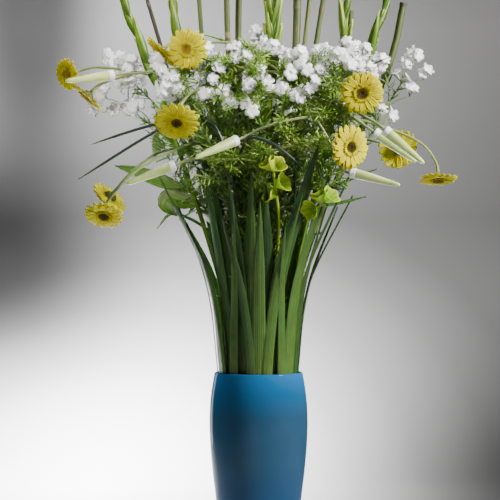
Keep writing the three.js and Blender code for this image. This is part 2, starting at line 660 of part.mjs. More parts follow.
// One flower: a five-lobed plate on a slender three-sided tube that starts at root. It is a cylinder
// with its top drawn down to the root, its middle ring to the tube and its foot out to the lobes.
const LOBE_CORNERS = 3; // round the edge, for each of the five lobes
const CORNERS = 5 * LOBE_CORNERS;
const LOBE_NOTCH = 0.5;
const FLORET_TUBE = 1.7;
const FLORET_THROAT = 3;
function floret(root, centre) {
  const axis = centre.clone().sub(root);
  const length = axis.length();
  axis.normalize();
  const flower = new THREE.CylinderGeometry(0, 1, 1, CORNERS, 2, false);
  const place = flower.attributes.position;
  for (let i = 0; i < place.count; i++) {
    const height = place.getY(i) + 0.5;
    const angle = Math.atan2(place.getZ(i), place.getX(i));
    const corner = (Math.round((angle / (2 * Math.PI)) * CORNERS) + CORNERS) % CORNERS;
    const wide = Math.hypot(place.getX(i), place.getZ(i));
    if (height < 0.1 && wide > 0.5) {
      const reach = (corner % LOBE_CORNERS === 0 ? LOBE_NOTCH : 1) * FLORET;
      place.setXYZ(i, Math.cos(angle) * reach, 0, Math.sin(angle) * reach);
    } else if (height < 0.1) {
      place.setXYZ(i, 0, 0.4, 0); // the eye, a little sunk
    } else if (height < 0.9) {
      const side = (Math.floor(corner / 5) / 3) * 2 * Math.PI + 0.8;
      place.setXYZ(i, FLORET_TUBE * Math.cos(side), FLORET_THROAT, FLORET_TUBE * Math.sin(side));
    } else {
      place.setXYZ(i, 0, length, 0);
    }
  }
  flower.applyQuaternion(new THREE.Quaternion().setFromUnitVectors(v(0, -1, 0), axis));
  return flower.translate(centre.x, centre.y, centre.z);
}

// Lines through a floret's lobes, for the room that it takes.
function floretLines(root, centre) {
  const axis = centre.clone().sub(root).normalize();
  const side = v(0.3, 0.2, 1).cross(axis).normalize();
  const lines = [[root.clone().lerp(centre, 0.3), centre]];
  for (let k = 0; k < 3; k++) {
    const arm = side.clone().applyAxisAngle(axis, (k / 3) * Math.PI).multiplyScalar(FLORET - 2.5);
    lines.push([centre.clone().sub(arm), centre.clone().add(arm)]);
  }
  return lines;
}

// Each of these adds its piece only where there is room for it.
function tryFloret(owner, pieces, root, centre) {
  const [tube, ...lobes] = floretLines(root, centre);
  if (!isClear(owner, tube, FLORET_TUBE) || !lobes.every((line) => isClear("", line, 2))) return false;
  take(owner, tube, FLORET_TUBE);
  lobes.forEach((line) => take(owner, line, 2.4));
  pieces.push(floret(root, centre));
  return true;
}

// A leaf that rises from its stem along aim, then droops a little to its tip.
function tryLeaf(owner, pieces, root, aim, length, width) {
  const side = v(0, 0, 1).cross(aim).normalize();
  const face = aim.clone().cross(side).normalize();
  const middle = root.clone().addScaledVector(aim, length * 0.5).addScaledVector(face, length * 0.07);
  const tip = root.clone().addScaledVector(aim, length).addScaledVector(face, -length * 0.1);
  const points = [root, middle, tip];
  const lanes = [-0.3, 0, 0.3].map((share) => [
    root.clone().addScaledVector(aim, 7),
    middle.clone().addScaledVector(side, share * width),
    tip,
  ]);
  if (!lanes.every((lane) => isClear("", lane, width * 0.2))) return false;
  lanes.forEach((lane) => take(owner, lane, width * 0.2));
  pieces.push(blade(points, face, [2.4, width, 1.6], PETAL_THICKNESS, 0));
  return true;
}

const NEEDLE = 1.5;
function tryNeedle(owner, pieces, root, aim, length) {
  const tip = root.clone().addScaledVector(aim, length);
  if (!isClear("", [root.clone().addScaledVector(aim, 6), tip], NEEDLE)) return;
  take(owner, [root, tip], NEEDLE);
  const needle = new THREE.ConeGeometry(NEEDLE, length, 3, 1).translate(0, length / 2, 0);
  needle.applyQuaternion(new THREE.Quaternion().setFromUnitVectors(v(0, 1, 0), aim));
  pieces.push(needle.translate(root.x, root.y, root.z));
}

// from: share of the way up the main stem. head: radius of the white head at the branch's end.
// hung: broad leaves that hang from the branch, each from its share of the branch.
const PHLOX = [
  {
    rim: [-20, 26], top: [-78, 14, 640], radius: 3,
    branches: [
      { from: 0.86, way: [[-130, 20, 715], [-190, 26, 782]], end: [-220, 28, 808], head: 30, florets: 11 },
      { from: 1, way: [[-105, -10, 705], [-132, -34, 755]], end: [-146, -44, 782], head: 28, florets: 10 },
      { from: 0.9, way: [[-125, -20, 690], [-185, -10, 735]], end: [-228, -6, 756], loose: 3,
        hung: [
          { share: 0.56, mid: [-171, -6, 710], tip: [-182, -2, 674], face: [-0.2, -1, 0.1], width: 24 },
        ] },
      { from: 0.72, way: [[-60, -4, 545], [-100, -12, 595], [-140, -22, 640]], end: [-172, -34, 705],
        hung: [
          { share: 0.52, mid: [-170, -28, 606], tip: [-142, -22, 573], face: [0.2, -1, 0.1], width: 31 },
          { share: 0.62, mid: [-207, -24, 648], tip: [-249, -30, 660], face: [0.1, -1, -0.3], width: 23 },
          { share: 0.25, mid: [-150, -14, 578], tip: [-177, -18, 551], face: [0.6, -0.4, 1], width: 12 },
        ] },
      { from: 0.95, way: [[-95, 60, 720]], end: [-120, 90, 790], loose: 1 },
    ],
  },
  {
    rim: [6, -28], top: [-2, -36, 610], radius: 3,
    branches: [
      { from: 0.94, way: [[-30, -32, 700]], end: [-74, -24, 824], head: 24, florets: 8 },
      { from: 1, way: [[2, -16, 700], [6, 14, 780]], end: [6, 30, 826], head: 36, florets: 13 },
      { from: 0.97, way: [[-30, -62, 690], [-50, -74, 750]], end: [-60, -80, 780], loose: 2 },
      { from: 1, way: [[6, -70, 680], [4, -92, 730]], end: [-2, -100, 752], loose: 2 },
      { from: 0.9, way: [[50, -72, 670]], end: [62, -88, 745], loose: 1 },
      { from: 0.88, way: [[-56, -66, 650]], end: [-96, -84, 716] },
    ],
  },
  {
    rim: [30, -18], top: [62, -34, 590], radius: 3,
    branches: [
      { from: 1, way: [[64, -44, 690]], end: [72, -48, 802], head: 26, florets: 9 },
      { from: 0.97, way: [[98, -4, 690], [140, 14, 780]], end: [160, 20, 822], head: 32, florets: 12 },
      { from: 0.9, way: [[110, -20, 610], [160, -12, 660], [201, -6, 712], [222, -8, 765]],
        end: [250, -12, 806], loose: 5,
        hung: [
          { share: 0.2, mid: [150, -26, 598], tip: [188, -36, 607], face: [0, -0.6, 1], width: 13 },
          { share: 0.34, mid: [175, -28, 643], tip: [206, -40, 655], face: [0, -0.5, 1], width: 11 },
        ] },
      { from: 0.95, way: [[120, -50, 680]], end: [128, -62, 760] },
      { from: 0.98, way: [[90, 50, 700]], end: [110, 110, 770], loose: 1 },
    ],
  },
];
const NEEDLES = 3; // on each branch that has no head
const FLORET_TRIES = 6;
const LEAF_TRIES = 4;
const BRANCH = 2;
const HEAD_BASE = [[0, 0], [3.6, 0], [8, 7], [6, 14], [0, 17]]; // radius, height
const HEAD_MIDDLE = 8;
const GOLDEN_ANGLE = Math.PI * (3 - Math.sqrt(5));

// The stems and their branches first, then the heads on the branches' ends, then leaves and buds.
const heads = [];
PHLOX.forEach((plant, i) => {
  const name = "phlox_stem_" + (i + 1);
  const trunkPoints = smooth([...trunk(plant.rim[0], plant.rim[1], TRUNK_HEIGHTS), v(...plant.top)], 10);
  const main = bendClear(name, trunkPoints, plant.radius, 7, 0);
  const pieces = [stem(main, plant.radius, 5)];
  take(name, main, plant.radius);
  plant.branches.forEach((branch) => {
    const root = new Route(main).getPoint(branch.from);
    const way = smooth([root, ...branch.way.map((p) => v(...p)), v(...branch.end)], 5);
    const points = bendClear(name, way, BRANCH, 1, branch.head ? 1 : 0);
    take(name, points, BRANCH);
    pieces.push(stem(points, BRANCH, 3));
    const end = points.at(-1);
    const aim = end.clone().sub(points.at(-2)).normalize();
    if (branch.head) heads.push({ end, aim, radius: branch.head, florets: branch.florets });
    branch.points = points;
    branch.aim = aim;
  });
  plant.main = main;
  plant.pieces = pieces;
});

heads.forEach(({ end, aim, radius, florets }, i) => {
  const name = "phlox_head_" + (i + 1);
  const base = end.clone().addScaledVector(aim, GAP);
  const middle = base.clone().addScaledVector(aim, HEAD_MIDDLE);
  const pieces = [turned(HEAD_BASE, 5, base, aim)];
  take(name, [middle, middle.clone().addScaledVector(aim, 2)], HEAD_MIDDLE);
  const crown = aim.clone().add(v(0, -0.25, 0.6)).normalize();
  const around = new THREE.Quaternion().setFromUnitVectors(UP, crown);
  const tries = florets * 4;
  for (let k = 0, placed = 0; k < tries && placed < florets; k++) {
    const height = 1 - (1.5 * (k + 0.5)) / tries;
    const wide = Math.sqrt(1 - height * height);
    const ray = v(wide * Math.cos(k * GOLDEN_ANGLE), wide * Math.sin(k * GOLDEN_ANGLE), height);
    ray.applyQuaternion(around);
    const reach = radius * (k % 3 ? 1 : 0.84);
    if (tryFloret(name, pieces, middle, middle.clone().addScaledVector(ray, reach))) placed++;
  }
  add(name, fuse(pieces), phloxWhite);
});

PHLOX.forEach((plant, i) => {
  const name = "phlox_stem_" + (i + 1);
  const { pieces, main, branches } = plant;
  for (const { points, aim, head, loose, hung } of branches) {
    for (const { share, mid, tip, face, width } of hung ?? []) {
      const leaf = {
        points: smooth([new Route(points).getPoint(share), v(...mid), v(...tip)], 4),
        face: v(...face).normalize(),
        widths: [3, width, width * 0.86, 1.6],
      };
      pieces.push(blade(leaf.points, leaf.face, leaf.widths, LEAF_THICKNESS, 0));
      takeLeaf(name, leaf);
    }
    for (let k = 0; k < (loose ?? 0); k++) {
      for (let attempt = 0; attempt < FLORET_TRIES; attempt++) {
        const angle = between(0, 2 * Math.PI);
        const ray = v(Math.cos(angle), -0.3 + 0.7 * Math.sin(angle), between(-0.4, 0.9)).add(aim).normalize();
        const root = points.at(k > 2 ? -2 : -1).clone().addScaledVector(aim, -2);
        if (tryFloret(name, pieces, root, root.clone().addScaledVector(ray, between(15, 24)))) break;
      }
    }
    const needles = head ? 0 : NEEDLES;
    for (let k = 0; k < needles; k++) {
      const root = new Route(points).getPoint(mix(0.72, 0.98, k / needles));
      const angle = k * 2.4 + i;
      const ray = aim.clone().add(v(Math.cos(angle), Math.sin(angle), 0.2)).normalize();
      tryNeedle(name, pieces, root, ray, between(14, 22));
    }
    for (let k = 1; k <= 2; k++) {
      for (const side of k === 1 ? [-1] : [-1, 1]) {
        const root = new Route(points).getPoint(k * 0.3);
        for (let attempt = 0; attempt < LEAF_TRIES; attempt++) {
          const angle = k * 1.6 + i + (side * Math.PI) / 2 + attempt * 0.5;
          const ray = v(Math.cos(angle), Math.sin(angle), between(0.05, 0.55)).normalize();
          if (tryLeaf(name, pieces, root, ray, between(44, 62) - attempt * 6, between(13, 17))) break;
        }
      }
    }
  }
  add(name, fuse(pieces), phloxGreen);
});

export default arrangement;
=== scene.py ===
import math
import random

import bmesh
import bpy
from mathutils import Matrix, Vector


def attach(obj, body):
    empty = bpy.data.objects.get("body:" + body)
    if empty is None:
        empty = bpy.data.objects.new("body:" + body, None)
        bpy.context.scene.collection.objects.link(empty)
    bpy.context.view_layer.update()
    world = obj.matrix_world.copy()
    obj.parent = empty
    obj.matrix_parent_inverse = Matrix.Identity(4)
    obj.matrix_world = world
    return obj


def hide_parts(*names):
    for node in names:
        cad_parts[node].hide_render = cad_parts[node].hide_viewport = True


# A tall arrangement of cut flowers in a blue glass vase. Metres, +Z up, seen from -Y.
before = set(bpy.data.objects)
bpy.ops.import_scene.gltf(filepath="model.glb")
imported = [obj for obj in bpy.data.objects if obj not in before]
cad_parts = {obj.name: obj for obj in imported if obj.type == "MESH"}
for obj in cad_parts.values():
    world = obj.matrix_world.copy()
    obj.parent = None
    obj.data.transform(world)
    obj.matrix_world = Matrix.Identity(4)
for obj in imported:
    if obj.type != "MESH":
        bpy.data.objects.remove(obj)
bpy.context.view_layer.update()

# ---- The studio. A sweep of pale grey paper runs from the floor up behind the vase. Its colour is painted light: a painted pool of light, painted shade that grades it darker towards its edges, painted shadow patches and a painted lighter top.
# The light is soft and comes from the right, with a pool of it on the paper, cast by a spot lamp as well as painted.
# ----


def new_object(name, data):
    thing = bpy.data.objects.new(name, data)
    bpy.context.scene.collection.objects.link(thing)
    return thing


lens = bpy.data.cameras.new("photo_camera")
lens.lens = 135
lens.sensor_width = 36
camera = new_object("photo_camera", lens)
camera.location = (-0.015, -3.282, 0.5135)
camera.rotation_euler = (math.pi / 2, 0, 0)
bpy.context.scene.camera = camera


def add_node(tree, kind, given=None, **settings):
    """Adds a shader node; given holds numbers, colours or links for its inputs."""
    node = tree.nodes.new("ShaderNode" + kind)
    for setting, value in settings.items():
        setattr(node, setting, value)
    for socket, value in (given or {}).items():
        if isinstance(value, bpy.types.NodeSocket):
            tree.links.new(value, node.inputs[socket])
        else:
            node.inputs[socket].default_value = value
    return node


def reckon(tree, operation, *values):
    """The result of a sum on numbers or links."""
    return add_node(tree, "Math", dict(enumerate(values)), operation=operation).outputs[0]


def remap(tree, value, spans, **settings):
    """A value moved from one span to another; spans holds both ends of the first, then of the second."""
    ends = dict(zip(("From Min", "From Max", "To Min", "To Max"), spans))
    return add_node(tree, "MapRange", {"Value": value, **ends}, **settings).outputs[0]


def new_finish(name, given):
    """A material on the plain shader. Returns it with its node tree and the shader."""
    material = bpy.data.materials.new(name)
    material.use_nodes = True
    shader = material.node_tree.nodes["Principled BSDF"]
    for socket, value in given.items():
        shader.inputs[socket].default_value = value
    return material, material.node_tree, shader


def colour_ramp(tree, factor, stops):
    """A ramp through stops, each a place from 0 to 1 with its colour."""
    node = add_node(tree, "ValToRGB", {"Fac": factor})
    band = node.color_ramp
    while len(band.elements) < len(stops):
        band.elements.new(1)
    for element, (spot, colour) in zip(band.elements, stops):
        element.position = spot
        element.color = (*colour, 1)
    return node.outputs["Color"]


sweep_paper, tree, shader = new_finish("sweep_paper", {"Roughness": 1.0, "Specular IOR Level": 0.0})
place = add_node(tree, "TexCoord").outputs["Object"]


def patch_at(spot, size):
    """A soft round patch on the paper, 1 in its middle and 0 from its edge outwards."""
    moved = add_node(tree, "Mapping", {"Vector": place, "Location": spot, "Scale": size}, vector_type="TEXTURE")
    return add_node(tree, "TexGradient", {"Vector": moved.outputs[0]}, gradient_type="SPHERICAL").outputs["Fac"]


# Painted light on the paper: the pool tones paint a pool of light, and the patches below paint soft shadows that grade
# it darker towards its edges.
PAINTED_POOL_TONES = [(0.32, 0), (0.42, 0.02), (0.54, 0.07), (0.64, 0.15), (0.74, 0.3), (0.86, 0.6), (0.96, 0.86)]
PAINTED_SHADOW_PATCHES = [  # middle, size, where it starts and where it is full, the share of light left there
    ((0.75, 0, -0.35), (0.92, 30, 0.92), 0.04, 0.74, 0.1),
    ((-0.7, 0, 0.48), (0.68, 30, 0.5), 0, 0.92, 0.1),
    ((-0.6, 0, 1.15), (0.33, 30, 0.85), 0.1, 0.9, 0.2),
]
spans = add_node(tree, "SeparateXYZ", {0: place}).outputs
# painted light: the paper is painted a little lighter towards its top
base = remap(tree, spans["Z"], (0.6, 1.1, 0.04, 0.1))
painted_pool = patch_at((-0.35, 0, -0.05), (1.6, 30, 1.15))
painted_light_grade = reckon(tree, "ADD", colour_ramp(tree, painted_pool, [(spot, (tone,) * 3) for spot, tone in PAINTED_POOL_TONES]), base)
# each painted shadow patch multiplies the paper darker
for spot, size, edge, full, left in PAINTED_SHADOW_PATCHES:
    painted_shadow = remap(tree, patch_at(spot, size), (edge, full, 1, left), interpolation_type="SMOOTHERSTEP")
    painted_light_grade = reckon(tree, "MULTIPLY", painted_light_grade, painted_shadow)
near = remap(tree, spans["Y"], (0.15, 0.55, 0.22, 0))  # the floor before the vase stays pale
painted_light_grade = reckon(tree, "MAXIMUM", painted_light_grade, near)
tree.links.new(painted_light_grade, shader.inputs["Base Color"])
unseen = add_node(tree, "BsdfTransparent")
sides = add_node(tree, "NewGeometry")
one_sided = add_node(tree, "MixShader", {0: sides.outputs["Backfacing"], 1: shader.outputs[0], 2: unseen.outputs[0]})
tree.links.new(one_sided.outputs[0], tree.nodes["Material Output"].inputs["Surface"])


def as_mesh(name, form):
    mesh = bpy.data.meshes.new(name)
    form.to_mesh(mesh)
    form.free()
    return mesh


SWEEP_FRONT, SWEEP_BACK, SWEEP_TOP, SWEEP_SIDE = -4.5, 1.7, 3.4, 3.4
SWEEP_BEND, BEND_STEPS = 0.8, 16
form = bmesh.new()
fold = [(SWEEP_FRONT, 0)]
for k in range(BEND_STEPS + 1):
    turn = k / BEND_STEPS * math.pi / 2
    fold.append((SWEEP_BACK - SWEEP_BEND + SWEEP_BEND * math.sin(turn), SWEEP_BEND - SWEEP_BEND * math.cos(turn)))
fold.append((SWEEP_BACK, SWEEP_TOP))
edge_line = [form.verts.new((-SWEEP_SIDE, y, z)) for y, z in fold]
edges = [form.edges.new(pair) for pair in zip(edge_line, edge_line[1:])]
drawn = bmesh.ops.extrude_edge_only(form, edges=edges)["geom"]
far_side = [part for part in drawn if isinstance(part, bmesh.types.BMVert)]
bmesh.ops.translate(form, verts=far_side, vec=(2 * SWEEP_SIDE, 0, 0))
form.normal_update()
if sum(face.normal.z for face in form.faces) < 0:
    bmesh.ops.reverse_faces(form, faces=form.faces)
mesh = as_mesh("paper_sweep", form)
mesh.shade_smooth()
mesh.materials.append(sweep_paper)
floor = new_object("paper_sweep", mesh)


def hang_light(name, kind, place, aim, watts, **settings):
    """A light of a kind that hangs at place and points at aim."""
    light = bpy.data.lights.new(name, kind)
    light.energy = watts
    for setting, value in settings.items():
        setattr(light, setting, value)
    stand = new_object(name, light)
    stand.location = place
    stand.rotation_euler = (Vector(aim) - Vector(place)).to_track_quat("-Z", "Y").to_euler()


for name, place, aim, width, height, watts, tint in (
    ("key_light", (2.2, -1.1, 1.8), (0, 0, 0.62), 0.6, 0.9, 230, (1, 0.98, 0.95)),
    ("edge_strip", (-0.78, 0.95, 0.2), (-0.08, 0, 0.16), 0.2, 0.9, 5, (1, 1, 1)),
    ("front_fill", (0.6, -3.6, 2.9), (0, 0, 0.6), 2.6, 1.2, 8, (0.95, 0.97, 1)),
    ("top_light", (0.6, 0.4, 2.6), (0, 0, 0.8), 0.9, 0.8, 48, (1, 1, 0.97)),
):
    hang_light(name, "AREA", place, aim, watts, shape="RECTANGLE", size=width, size_y=height, color=tint)
for name, place, aim, degrees, watts, softness in (
    ("backdrop_pool", (-0.75, 0.45, 2.3), (-0.35, 1.35, 0.1), 74, 2600, 0.3),
    ("bloom_light", (-0.9, -1.6, 2.0), (-0.13, -0.05, 0.88), 14, 320, 0.1),
):
    spread_of_beam = math.radians(degrees)
    hang_light(name, "SPOT", place, aim, watts, spot_size=spread_of_beam, spot_blend=1.0, shadow_soft_size=softness)
world = bpy.data.worlds.new("studio_air")
world.use_nodes = True
air = world.node_tree.nodes["Background"].inputs
air["Color"].default_value = (0.5, 0.5, 0.52, 1)
air["Strength"].default_value = 0.11
bpy.context.scene.world = world

# ---- The vase. Hand-blown cased glass: a wall of opaque blue under a clear outer layer, drawn in
# at the rim and polished there. Its foot, which the photograph cuts off, is ground flat. ----
MM = 0.001
VASE_WALL, VASE_FLOOR, VASE_HEIGHT = 4, 12, 300
VASE_OUTLINE = [(65, 0), (69, 22), (74.5, 76), (82, 140), (86, 205), (84, 255), (77, VASE_HEIGHT)]  # radius, height
LIP_STEPS = 6


def points_mm(points):
    return [Vector(point) * MM for point in points]


def flow(points, count):
    """Evenly spaced stations along the smooth curve that runs through these points."""
    lead = [2 * points[0] - points[1], *points, 2 * points[-1] - points[-2]]
    fine = [points[0]]
    for before, start, stop, after in zip(lead, lead[1:], lead[2:], lead[3:]):
        a, b, c = (max((q - p).length, 1e-6) ** 0.5 for p, q in ((before, start), (start, stop), (stop, after)))
        leave = b * ((start - before) / a - (stop - before) / (a + b) + (stop - start) / b)
        arrive = b * ((stop - start) / b - (after - start) / (b + c) + (after - stop) / c)
        for step in range(1, 13):
            t = step / 12
            held = (2 * t**3 - 3 * t**2 + 1) * start + (3 * t**2 - 2 * t**3) * stop
            fine.append(held + (t**3 - 2 * t**2 + t) * leave + (t**3 - t**2) * arrive)
    reach = [0.0]
    for p, q in zip(fine, fine[1:]):
        reach.append(reach[-1] + (q - p).length)
    stations, k = [], 0
    for i in range(count + 1):
        goal = reach[-1] * i / count
        while k < len(fine) - 2 and reach[k + 1] < goal:
            k += 1
        stations.append(fine[k].lerp(fine[k + 1], (goal - reach[k]) / max(reach[k + 1] - reach[k], 1e-9)))
    return stations


def new_form():
    """An empty form that carries a UV map."""
    form = bmesh.new()
    form.loops.layers.uv.verify()
    return form


def add_part(form, part, coat, laid=None):
    """Joins a finished part to its piece, in one of the piece's materials and laid by a matrix."""
    for face in part.faces:
        face.material_index = coat
    if laid:
        bmesh.ops.transform(part, matrix=laid, verts=part.verts)
    mesh = as_mesh("part", part)
    form.from_mesh(mesh)
    bpy.data.meshes.remove(mesh)


def draw_turned(form, profile, segments, laid, coat=0):
    """A round part: pairs of radius and height spun about their axis, then laid by a matrix."""
    part = new_form()
    line = [part.verts.new((radius, 0, height)) for radius, height in profile]
    edges = [part.edges.new(pair) for pair in zip(line, line[1:])]
    bmesh.ops.spin(
        part, geom=line + edges, cent=(0, 0, 0), axis=(0, 0, 1), angle=2 * math.pi, steps=segments, use_merge=True
    )
    bmesh.ops.remove_doubles(part, verts=part.verts, dist=1e-6)
    bmesh.ops.recalc_face_normals(part, faces=part.faces)
    add_part(form, part, coat, laid)


def show_piece(name, form, slot, materials, *nodes):
    """Makes a finished form a piece of the object, standing for these CAD nodes."""
    mesh = as_mesh(name, form)
    mesh.shade_smooth()
    for material in materials:
        mesh.materials.append(material)
    piece = new_object(name, mesh)
    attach(piece, "root")
    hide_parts(*nodes)


def grain(tree, scale, detail, roughness=0.5):
    """Noise that is fixed to the piece."""
    place = add_node(tree, "TexCoord").outputs["Object"]
    given = {"Vector": place, "Scale": scale, "Detail": detail, "Roughness": roughness}
    return add_node(tree, "TexNoise", given).outputs[0]


def raise_surface(tree, shader, strength, distance, height, *coats):
    """Lets a pattern raise the shader's surface, and these coats of it."""
    bump = add_node(tree, "Bump", {"Strength": strength, "Distance": distance, "Height": height})
    for socket in ("Normal", *coats):
        tree.links.new(bump.outputs[0], shader.inputs[socket])


blue_glass, tree, shader = new_finish(
    "blue_cased_glass",
    {"Roughness": 0.5, "Coat Weight": 0.2, "Coat Roughness": 0.04, "Coat IOR": 1.4, "Specular IOR Level": 0.0},
)
height = add_node(tree, "SeparateXYZ", {0: add_node(tree, "TexCoord").outputs["Object"]}).outputs["Z"]
# The blue is deep low down and lightens to azure at the rim; the lighter rim is painted light, standing for light
# glowing through the glass there.
blue_with_painted_rim_glow = colour_ramp(tree, remap(tree, height, (0, 0.3, 0, 1)), [
    (0, (0.01, 0.042, 0.13)), (0.5, (0.02, 0.058, 0.105)), (0.75, (0.018, 0.055, 0.105)),
    (0.88, (0.01, 0.075, 0.175)), (1, (0.014, 0.11, 0.27)),
])
cloud = remap(tree, grain(tree, 22, 3, 0.6), (0, 1, 0.9, 1.1))
tinted = add_node(tree, "HueSaturation", {"Color": blue_with_painted_rim_glow, "Value": cloud})
tree.links.new(tinted.outputs[0], shader.inputs["Base Color"])
raise_surface(tree, shader, 0.06, 0.01, grain(tree, 9, 1), "Coat Normal")

outline = [(p.x, p.z) for p in flow(points_mm([(radius, 0, z) for radius, z in VASE_OUTLINE]), 44)]
foot_radius = outline[0][0]
rim_radius, rim_height = outline[-1]
half_wall = VASE_WALL / 2 * MM
profile = [(0, 0), (foot_radius - 0.004, 0), (foot_radius - 0.0018, 0.0007), (foot_radius - 0.0004, 0.0026)]
profile += [spot for spot in outline if 0.004 < spot[1] < rim_height - half_wall]
for k in range(LIP_STEPS + 1):
    turn = math.pi * k / LIP_STEPS
    lip = (half_wall * math.cos(turn), half_wall * math.sin(turn))
    profile.append((rim_radius - half_wall + lip[0], rim_height - half_wall + lip[1]))
inside = [(r - VASE_WALL * MM, z) for r, z in outline if (VASE_FLOOR + 4) * MM < z < rim_height - half_wall]
profile += inside[::-1]
profile += [(inside[0][0] - 0.003, (VASE_FLOOR + 0.6) * MM), (inside[0][0] - 0.008, VASE_FLOOR * MM)]
profile += [(0, VASE_FLOOR * MM)]
form = bmesh.new()
draw_turned(form, profile, 112, Matrix())
show_piece("vase_body", form, "vase_glass", [blue_glass], "vase")

# ---- The water, which fills the vase to two thirds of its height and stands round the stems. It
# keeps the CAD node's shape; its finish is clear with a faint green tint. ----
clear_water, tree, shader = new_finish(
    "clear_water",
    {"Base Color": (0.86, 0.95, 0.94, 1), "Roughness": 0.02, "IOR": 1.333, "Transmission Weight": 0.9},
)
raise_surface(tree, shader, 0.08, 0.002, grain(tree, 30, 1))
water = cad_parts["water"]
water.data.materials.clear()
water.data.materials.append(clear_water)

# ---- The canes: nine bare shoots of green willow and knotweed, cut square, that stand in the vase
# and lean out from it. The bark is brown, olive or green with fine streaks, and the joints are
# swollen, each with a pale band between dark edges. ----
BUNDLE_FOOT = 0.78
FLARE_HEIGHT, FLARE_LENGTH, FLARE_GAIN, STEADY_GAIN = 450, 60, 0.204, 0.001
TRUNK_HEIGHTS = [12.5, 150, 300, 375, 450]
LOW_MARK, HIGH_MARK = 846, 951
CANES = [  # rim place, place at the two marks, top, radius, heights of the joints
    ((-38, 12), (-164, 5), (-195, 8), 1030, 3.5, [944, 800, 640, 500]),
    ((-24, -8), (-95, -12), (-102, -14), 1085, 4, [1010, 830, 660]),
    ((-14, -28), (-52, -50), (-54, -54), 1125, 5, [884, 1040, 690]),
    ((-6, -6), (-35, -8), (-33, -9), 1095, 5.8, [880, 1020, 720]),
    ((12, 10), (65, 45), (67, 50), 1060, 7.2, [945, 780]),
    ((14, 30), (78, 88), (90, 98), 1100, 4.2, [985, 850]),
    ((30, 6), (97, 35), (114, 38), 1050, 4.7, [938, 790]),
    ((32, 24), (155, 72), (167, 80), 943, 5.2, [868, 720]),
    ((45, -2), (232, 15), (256, 20), 949, 6.3, [946, 800, 650]),
]


def spread(z):
    """How far the bundle has opened at a height, against 1 at the vase's rim."""
    if z < VASE_HEIGHT:
        return BUNDLE_FOOT + (1 - BUNDLE_FOOT) * (z - VASE_FLOOR) / (VASE_HEIGHT - VASE_FLOOR)
    here, rim = (math.log1p(math.exp((level - FLARE_HEIGHT) / FLARE_LENGTH)) for level in (z, VASE_HEIGHT))
    return 1 + STEADY_GAIN * (z - VASE_HEIGHT) + FLARE_GAIN * (here - rim)


def trunk(x, y, heights):
    return [Vector((x * spread(z), y * spread(z), z)) * MM for z in heights]


def upright(rim, low, high, top, count):
    """Stations of a stem that keeps its place in the bundle, then leans out past both marks."""
    rise = (top - LOW_MARK) / (HIGH_MARK - LOW_MARK)
    end = [p + (q - p) * rise for p, q in zip(low, high)]
    return flow(trunk(*rim, TRUNK_HEIGHTS) + points_mm([(*low, LOW_MARK), (*end, top)]), count)


def directions(stations):
    last = len(stations) - 1
    return [(stations[min(i + 1, last)] - stations[max(i - 1, 0)]).normalized() for i in range(last + 1)]


def share(values, t):
    """The value at t, from 0 to 1, of a list that is spread evenly along the way."""
    place = min(max(t, 0), 1) * (len(values) - 1)
    low = min(int(place), len(values) - 2)
    return values[low] + (values[low + 1] - values[low]) * (place - low)


def new_sheet(across, steps, place):
    """A grid of faces as a part; place(u, v), both from 0 to 1, says where each of its corners goes."""
    part = new_form()
    grid = bmesh.ops.create_grid(part, x_segments=across, y_segments=steps, size=0.5, calc_uvs=True)
    for corner in grid["verts"]:
        corner.co = place(corner.co.x + 0.5, corner.co.y + 0.5)
    return part


def draw_rod(form, stations, radii, sides, coat=0):
    """A round stem: a sheet rolled about its stations, joined along its seam and closed at the ends."""
    last = len(stations) - 1
    ways = directions(stations)
    across = ways[0].orthogonal().normalized()
    frames = []
    for way in ways:
        across = (across - way * across.dot(way)).normalized()
        frames.append((across, way.cross(across)))

    def place(u, v):
        k = round(v * last)
        turn = 2 * math.pi * u
        out = frames[k][0] * math.cos(turn) + frames[k][1] * math.sin(turn)
        return stations[k] + out * (radii[k] if len(radii) == last + 1 else share(radii, v))

    part = new_sheet(sides, last, place)
    bmesh.ops.remove_doubles(part, verts=part.verts, dist=1e-7)
    bmesh.ops.holes_fill(part, edges=[edge for edge in part.edges if edge.is_boundary], sides=0)
    add_part(form, part, coat)


def live_finish(name, stops, streaks, contrast, relief, given):
    """A living surface: its colour runs along the piece through stops, with fine streaks and mottling."""
    material, tree, shader = new_finish(name, given)
    flat = add_node(tree, "SeparateXYZ", {0: add_node(tree, "TexCoord").outputs["UV"]})
    along = colour_ramp(tree, flat.outputs["Y"], stops)
    ribs = reckon(tree, "PINGPONG", reckon(tree, "MULTIPLY", flat.outputs["X"], streaks), 0.5)
    mottle = grain(tree, 45, 4, 0.6)
    ridge = reckon(tree, "MULTIPLY_ADD", ribs, 2 * contrast, 1 - contrast / 2)
    value = reckon(tree, "MULTIPLY", ridge, remap(tree, mottle, (0.3, 0.7, 0.82, 1.18)))
    hue = remap(tree, grain(tree, 9, 1), (0.3, 0.7, 0.485, 0.515))
    colour = add_node(tree, "HueSaturation", {"Color": along, "Hue": hue, "Value": value})
    tree.links.new(colour.outputs[0], shader.inputs["Base Color"])
    raise_surface(tree, shader, relief, 0.0006, reckon(tree, "ADD", mottle, ribs))
    return material


